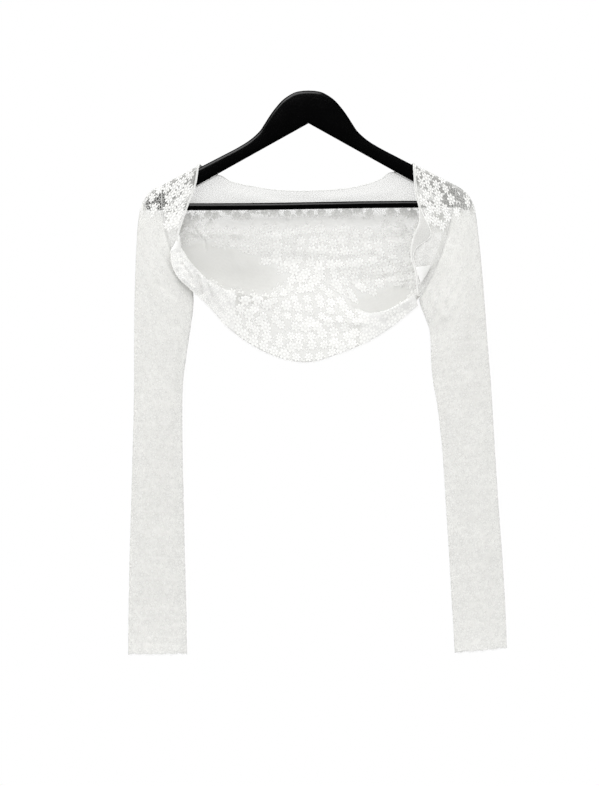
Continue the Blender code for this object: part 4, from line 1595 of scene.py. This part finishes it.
@dataclass
class Back:
    """The back panel: behind the hanger from the neck edge, then forward as a roll to the hem."""

    columns: int = 230
    level_rows: tuple[int, ...] = (30, 12, 9, 14, 24)
    thickness: float = 0.4
    flat: tuple[float, float] = (0.425, 0.25)

    NECK_CORNER_COLUMNS = (3, 11)
    SEAM_DROP = 0.6
    ARMHOLE_SHARES = (0.395, 0.165, 0.03)
    BACK_INSET = 1.25
    GATHERS = 9
    GATHER_REACH = 0.3
    GATHER_HEIGHT = 0.3
    GATHER_GROWTH = 0.5
    HEM_CORD_COLUMNS = 66
    FOLD_LEVELS = (0.42, 0.74)
    FOLD_HEIGHTS = (2.4, -2.0)
    FOLD_WIDTH = 0.13
    # Places that part the flowers: depth of the roll, height of the bar, the bright part's side and
    # top, the left band's right end and depth, and the faint ones' distances from a plain spot.
    ROLL_DEPTH = -2
    BAR_HEIGHT = -158
    BRIGHT_FROM = -45
    BRIGHT_DOWN_FROM = -184
    BAND_TO = -112
    BAND_DEPTH = 2
    FAINT_REACHES = (0.96, 1.14)
    # Start and reach of the parts where the net changes: the low part of the inside, the part above
    # the bar, and the roll's two ends; and the strip below the bar.
    LOW_PART = (-184, -8)
    ABOVE_BAR = (-150, 6)
    PAINTED_LIGHT_LEFT_END = (-92, -8)
    PAINTED_LIGHT_RIGHT_END = (62, 10)
    STRIP_MIDDLE = -161
    STRIP_REACH = 6
    LEVEL_FADE = 0.25
    # How closely worked the roll's two ends and the low part of the inside are; the ends' closeness brings in
    # the lighter worked colour, painted light in their shaded crevices.
    CLOSENESS = 0.8
    LOW_CLOSENESS = 0.26
    # Shares of open holes: on the inside, above the bar, in the strip below it, and on the roll; the extra
    # holes above and below the bar let the white beyond through, painted light where the hanger and bar shade
    # the back.
    HOLES = (0.12, 0.36, 0.6, 0.06)

    @staticmethod
    def is_front(middle: np.ndarray) -> np.ndarray:
        """Whether a flower is on the roll."""
        return middle[:, 1] < Back.ROLL_DEPTH

    @staticmethod
    def is_bright(middle: np.ndarray) -> np.ndarray:
        """Whether a flower is on the bright part of the inside, below the plain band: it keeps the roll's
        finish, while the rest of the inside has darker flowers as painted shade.
        """
        low = (middle[:, 0] > Back.BRIGHT_FROM) & (middle[:, 2] < Back.BRIGHT_DOWN_FROM)
        return low & ~Back.is_front(middle) & ~Back.is_soft(middle)

    @staticmethod
    def is_soft(middle: np.ndarray) -> np.ndarray:
        """Whether a flower on the inside is faint: above the bar or round a plain spot."""
        high = middle[:, 2] > Back.BAR_HEIGHT
        return ~Back.is_front(middle) & (high | (Back.nearest_spot(middle) < Back.FAINT_REACHES[1]))

    @staticmethod
    def nearest_spot(points: np.ndarray) -> np.ndarray:
        """Distance to the nearest plain spot's middle, 1 at its rim."""
        return np.min([spot.far(points) for spot in SHADED_PLAIN_SPOTS], axis=0)

    def neck_seam(self, places: np.ndarray, columns: tuple[int, int], side: Side) -> np.ndarray:
        """Across and height of the straight seam to a front, from the neck corner to the armhole."""
        share = 1 - SleeveShape.seam_drop(side)
        near = share + np.array([-0.02, 0.0, 0.02])
        end = SleeveShape.armhole(side, near, Front.SEAM_INSET)[0][1]
        corner = np.asarray(NECK_CORNERS[side], dtype=float)
        reach = np.abs(places - columns[0]) / abs(columns[1] - columns[0])
        return corner + reach[:, None] * (end - corner) - np.array([0.0, self.SEAM_DROP])

    def follow_armhole(self, grid: np.ndarray, places: np.ndarray, heights: np.ndarray, side: Side) -> None:
        """Moves the strips near one end so that the last one runs along the armhole."""
        end = 0 if side is Side.LEFT else len(BACK_STRIPS) - 1
        levels = np.interp(heights, range(4), (1 - SleeveShape.seam_drop(side), *self.ARMHOLE_SHARES))
        back = heights <= TROUGH_LEVEL
        path, depth = SleeveShape.armhole(side, levels[back], self.BACK_INSET)
        edge = np.column_stack([path[:, 0], depth, path[:, 1]])
        edge[:, 2] -= self.SEAM_DROP * np.clip(1 - heights[back], 0, 1)
        near = np.clip(1 - np.abs(places - end), 0, 1) ** 2
        change = edge - grid[back, int(np.argmax(near))]
        grid[back] += change[:, None, :] * near[None, :, None]

    def surface(self) -> tuple[Surface, np.ndarray]:
        """The back's grid and the level of each of its rows.

        Each strip is a smooth curve down its six levels, and the strips are smooth across.

        Returns:
            The surface and the levels.
        """
        last = len(BACK_STRIPS) - 1
        places = np.linspace(0, last, self.columns)
        strips = along(np.array(BACK_STRIPS, dtype=float), places)
        depth = along(np.array(BACK_DEPTHS, dtype=float), places)
        left_corner, right_corner = self.NECK_CORNER_COLUMNS
        left, right = places < left_corner, places > right_corner
        strips[left, 0] = self.neck_seam(places[left], (left_corner, 0), Side.LEFT)
        strips[right, 0] = self.neck_seam(places[right], (right_corner, last), Side.RIGHT)
        levels = np.dstack([strips[..., 0], depth, strips[..., 1]]).transpose(1, 0, 2)
        steps = [np.arange(count) / count + level for level, count in enumerate(self.level_rows)]
        heights = np.concatenate([*steps, [float(len(self.level_rows))]])
        grid = along(levels, heights)
        inside = np.sin(math.pi * fade(places, 1, last - 2)) ** 0.5
        for level, height in zip(self.FOLD_LEVELS, self.FOLD_HEIGHTS):
            fold = height * np.exp(-(((heights - level) / self.FOLD_WIDTH) ** 2))
            grid[:, :, 1] += fold[:, None] * inside[None, :]
        over = np.linspace(0, 1, self.columns)
        strength = np.clip(1 - over / self.GATHER_REACH, 0, 1)
        wave = 1 + np.sin(2 * math.pi * self.GATHERS * over / self.GATHER_REACH)
        growth = fade(heights, ROLL_LEVEL, self.GATHER_GROWTH)
        grid[:, :, 1] -= self.GATHER_HEIGHT * growth[:, None] * (strength * wave)[None, :]
        ends = np.clip(np.minimum(places, last - places), 0, 1)[None, :]
        on_back = fade(heights, TROUGH_LEVEL - 0.1, -self.LEVEL_FADE)[:, None] * ends
        on_roll = np.clip((heights - TROUGH_LEVEL - 0.5) * 3, 0, 1)[:, None]
        grid = push(push(grid, BACK_CREASES, on_back), ROLL_CREASES, on_roll)
        for side in Side:
            self.follow_armhole(grid, places, heights, side)
        return Surface(grid), heights

    def dress(self, wardrobe: Wardrobe) -> None:
        """Makes the back panel, its flowers, the neck edge and the hem's edging.

        Args:
            wardrobe: the finishes.
        """
        surface, heights = self.surface()
        inner = fade(heights, ROLL_LEVEL - 0.4, -self.LEVEL_FADE)[:, None]
        across, height = surface.points[..., 0], surface.points[..., 2]
        # The plain spots shut the usual holes and close the net, painted shade in the hollows.
        insides = [spot.inside(surface.points) for spot in SHADED_PLAIN_SPOTS]
        plain = inner * np.max(insides, axis=0)
        cover = inner * np.max([spot.cover * share for spot, share in zip(SHADED_PLAIN_SPOTS, insides)], axis=0)
        ground = self.LOW_CLOSENESS * fade(height, *self.LOW_PART)
        # More open holes above and below the bar, painted light in the shade of the hanger and bar.
        below_bar_painted_light = np.exp(-(((height - self.STRIP_MIDDLE) / self.STRIP_REACH) ** 4))
        above_bar_painted_light = inner * fade(height, *self.ABOVE_BAR)
        # The roll's two ends are lifted to the lighter worked colour, painted light where crevices shade
        # them.
        band = (1 - inner) * (fade(across, *self.PAINTED_LIGHT_LEFT_END) + fade(across, *self.PAINTED_LIGHT_RIGHT_END))
        solid = np.maximum(np.maximum(cover, self.CLOSENESS * band), ground)
        usual, high, low, rolled = self.HOLES
        holes = inner * (usual * (1 - plain) + high * above_bar_painted_light + low * below_bar_painted_light) + rolled * (1 - inner)
        net = make_sheet("back_lace", surface, self.thickness, solid, holes,
                         wardrobe.material(wardrobe.body_net))
        place(net, "back_panel")
        motifs = Motifs(spacing=15.6, radius=6.9, relief=0.5, both_faces=True, cut=0.26, groove=0.45)
        flowers = wardrobe.sew("back_flowers", motifs, surface, wardrobe.roll_motif,
                               lambda middle: self.is_front(middle) & (middle[:, 0] > self.BAND_TO))
        motifs.relief = 0.45
        # Flowers on the rest of the inside take the darker copy, painted shade.
        behind = wardrobe.sew(
            "back_inner_flowers", motifs, surface, wardrobe.shaded_inner_motif,
            lambda middle: ~(self.is_front(middle) | self.is_bright(middle) | self.is_soft(middle))
        )
        bright = wardrobe.sew("back_bright_flowers", motifs, surface, wardrobe.roll_motif, self.is_bright)
        motifs.relief = 0.3
        faint = wardrobe.sew(
            "back_faint_flowers", motifs, surface, wardrobe.shaded_inner_motif,
            lambda middle: self.is_soft(middle) & (self.nearest_spot(middle) > self.FAINT_REACHES[0])
            & (middle[:, 2] < self.BAR_HEIGHT)
        )
        small = Motifs(seed=8, spacing=11.0, radius=4.6, relief=0.45, both_faces=True, cut=0.3, groove=0.3)
        banded = wardrobe.sew(
            "band_flowers", small, surface, wardrobe.body_motif,
            lambda middle: (middle[:, 1] < self.BAND_DEPTH) & (middle[:, 0] <= self.BAND_TO)
        )
        hem = wardrobe.trim("hem_cord", 1.3, surface.points[-1, : self.HEM_CORD_COLUMNS],
                            wardrobe.body_motif)
        neck = wardrobe.trim("neck_cord", 1.2, surface.points[0], wardrobe.body_motif)
        picots = place(Picots().build("hem_picots", surface.points[-1], surface.points[-4],
                                      wardrobe.material(wardrobe.body_motif)))
        LOG.info("back area %.4f", surface.area())
        surface.area()


@dataclass
class Studio:
    """The pale floor, soft lights, white surround and camera of the picture."""

    lens: float = 100.0
    sensor: float = 36.0
    picture_height: float = 1.06412
    centre: tuple[float, float] = (-0.01219, -0.40954)
    floor_height: float = -1.25
    floor_radius: float = 1.25
    surround: float = 0.53

    # Name, place, side and power of each soft light, and whether it shines in lacquer.
    LIGHTS = (
        ("sky", (-0.6, -1.3, 2.0), 2.3, 40.0, True),
        ("key", (-0.7, -2.3, 1.1), 1.6, 18.5, False),
        ("fill", (1.7, -1.9, -0.2), 1.4, 8.0, False),
        ("left", (-2.1, -0.4, -0.4), 1.6, 9.2, False),
        ("right", (2.1, -0.4, -0.4), 1.6, 9.8, False),
        ("rim", (0.3, 2.2, 0.9), 1.8, 30.0, False),
    )
    FLOOR_SIDES = 64

    def camera(self) -> None:
        """The camera looks straight at the front, far enough for the picture's height to fit."""
        data = bpy.data.cameras.new("camera")
        data.lens = self.lens
        data.sensor_width = self.sensor
        thing = bpy.data.objects.new("camera", data)
        distance = self.picture_height / 2 / (self.sensor / 2 / self.lens)
        thing.location = (self.centre[0], -distance, self.centre[1])
        thing.rotation_euler = (math.pi / 2, 0.0, 0.0)
        bpy.context.scene.collection.objects.link(thing)
        bpy.context.scene.camera = thing

    def light(self, name: str, spot: tuple, size: float, power: float, gloss: bool) -> None:
        """One square soft light aimed at the middle of the object; gloss says if it shines in lacquer."""
        data = bpy.data.lights.new(name, "AREA")
        data.size = size
        data.energy = power
        thing = bpy.data.objects.new(name, data)
        thing.location = spot
        thing.visible_glossy = gloss
        aim = np.array([self.centre[0], 0.0, self.centre[1]]) - np.array(spot)
        flat = math.hypot(aim[0], aim[1])
        thing.rotation_euler = (math.atan2(flat, -aim[2]), 0.0, math.atan2(-aim[0], aim[1]))
        bpy.context.scene.collection.objects.link(thing)

    def surround_light(self) -> None:
        """White beyond the object; it lights cloth softly and shows dimmer in gloss."""
        world = bpy.data.worlds.new("surround")
        world.use_nodes = True
        bpy.context.scene.world = world
        bench = NodeBench(world.node_tree)
        ray = bench.node("ShaderNodeLightPath")
        soft = bench.mix(ray.outputs["Is Glossy Ray"], self.surround, 0.01)
        level = bench.mix(ray.outputs["Is Camera Ray"], soft, 1.0)
        bench.fill(world.node_tree.nodes["Background"], {"Color": (1.0, 1.0, 1.0, 1.0), "Strength": level})

    def floor(self) -> None:
        """A round pale floor below the object."""
        turn = np.linspace(0, 2 * math.pi, self.FLOOR_SIDES, endpoint=False)
        rim = np.column_stack([self.floor_radius * np.cos(turn), self.floor_radius * np.sin(turn),
                               np.full(self.FLOOR_SIDES, self.floor_height)]) / MM
        material, bench, shader = new_finish("floor")
        bench.fill(shader, {"Base Color": (0.9, 0.9, 0.9, 1.0), "Roughness": 0.9})
        thing = new_object("floor", rim, [list(range(self.FLOOR_SIDES))], material)
        thing.visible_glossy = False

    def build(self) -> None:
        """Sets the picture's tones and builds the studio."""
        bpy.context.scene.view_settings.view_transform = "Standard"
        bpy.context.scene.view_settings.look = "None"
        bpy.context.scene.cycles.transparent_max_bounces = 32
        self.camera()
        self.surround_light()
        for light in self.LIGHTS:
            self.light(*light)
        self.floor()


@dataclass
class Hanger:
    """The flat wooden hanger and its bar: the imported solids' form with a smooth outline and edges."""

    half_depth: float = 6.0
    edge_round: float = 5.0
    lower_start: float = 44.5
    lower_slope: float = 0.557
    lower_end: float = 212.0
    bar_diameter: float = 9.6
    steps: int = 150
    arc_points: int = 9
    bar_sides: int = 32

    APEX_SHARE = 0.18
    EDGE_LIMIT = 0.49
    BAR_GAP = 0.4
    BAR_RINGS = 60

    def sections(self) -> np.ndarray:
        """Rings across the right half, from the crest to the tip.

        A ring goes from its foot on the arm's straight lower edge up to the outline. Its ends are half
        ellipses, as high as the edge's rounding and as deep as the wood.

        Returns:
            The rings, each a closed loop.
        """
        top = along(np.asarray(HANGER_TOP, dtype=float), np.linspace(0, len(HANGER_TOP) - 1, self.steps))
        foot = (top[:, 0] - self.lower_slope * (top[:, 1] + self.lower_start)) / (1 + self.lower_slope**2)
        foot = np.minimum(np.maximum(foot, self.APEX_SHARE * top[:, 0]), self.lower_end)
        low = np.column_stack([foot, -self.lower_start - self.lower_slope * foot])
        height = np.linalg.norm(top - low, axis=1)
        way = (top - low) / height[:, None]
        turn = np.linspace(-math.pi / 2, math.pi / 2, self.arc_points)
        edge = np.minimum(self.edge_round, self.EDGE_LIMIT * height)[:, None]
        flat = (self.half_depth - self.edge_round) * np.sign(turn)
        depth = flat + self.edge_round * np.sin(turn)
        upper = height[:, None] - edge + edge * np.cos(turn)
        lower = edge - edge * np.cos(turn)
        reach = np.concatenate([upper, lower], axis=1)
        depths = np.broadcast_to(np.concatenate([depth, depth[::-1]]), reach.shape)
        flat_points = low[:, None] + way[:, None] * reach[..., None]
        return np.dstack([flat_points[..., 0], depths, flat_points[..., 1]])

    def tube(self, name: str, rings: np.ndarray, material: bpy.types.Material) -> bpy.types.Object:
        """A closed body through rings, with a flat face at each end.

        Args:
            name: the piece's name.
            rings: closed loops in order from one end to the other.
            material: its finish.

        Returns:
            The object.
        """
        count, sides = rings.shape[:2]
        faces = grid_cells(count, sides, count - 1, sides)[:, [0, 3, 2, 1]].tolist()
        faces += [list(range(sides))[::-1], list(range((count - 1) * sides, count * sides))]
        return new_object(name, rings, faces, material)

    def bar(self) -> np.ndarray:
        """Rings of the round bar, each point's way cut at the arm's lower edge above it."""
        turn = np.linspace(0, 2 * math.pi, self.bar_sides, endpoint=False)
        rise = self.bar_diameter / 2 * np.sin(turn)
        depth = self.bar_diameter / 2 * np.cos(turn)
        line = np.asarray(BAR_LINE, dtype=float)
        ends = [np.sign(across) * (-self.lower_start - height - rise - self.BAR_GAP) / self.lower_slope
                for across, height in (line[0], line[-1])]
        share = np.linspace(0, 1, self.BAR_RINGS)[:, None]
        across = ends[0] + (ends[1] - ends[0]) * share
        places = np.interp(across, line[:, 0], np.arange(len(line)))
        centre = along(line[:, 1:], places.ravel()).reshape(across.shape)
        return np.dstack([across, np.broadcast_to(depth, across.shape), centre + rise])

    def dress(self, wardrobe: Wardrobe) -> None:
        """Makes the hanger and its bar.

        Args:
            wardrobe: the finishes.
        """
        half = self.sections()
        whole = np.concatenate([(half * [-1, 1, 1])[::-1], half[1:]])
        lacquer = wardrobe.material(wardrobe.lacquer)
        place(self.tube("wooden_hanger", whole, lacquer), "hanger_frame", slot=Slot.WOOD)
        place(self.tube("wooden_bar", self.bar(), lacquer), "trouser_bar", slot=Slot.WOOD)


def main() -> None:
    """Builds the studio and every piece in order."""
    logging.basicConfig(level=logging.INFO, format="%(name)s: %(message)s")
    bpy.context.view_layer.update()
    wardrobe = Wardrobe()
    Studio().build()
    Hanger().dress(wardrobe)
    for side in Side:
        Sleeve(side).dress(wardrobe)
    Front(Side.LEFT, 0.43, LEFT_EDGE, 0.0, (0.09, 0.16)).dress(wardrobe)
    Front(Side.RIGHT, 0.045, RIGHT_EDGE, 18.0, (0.095, 0.235)).dress(wardrobe)
    Back().dress(wardrobe)


if __name__ == "__main__":
    main()
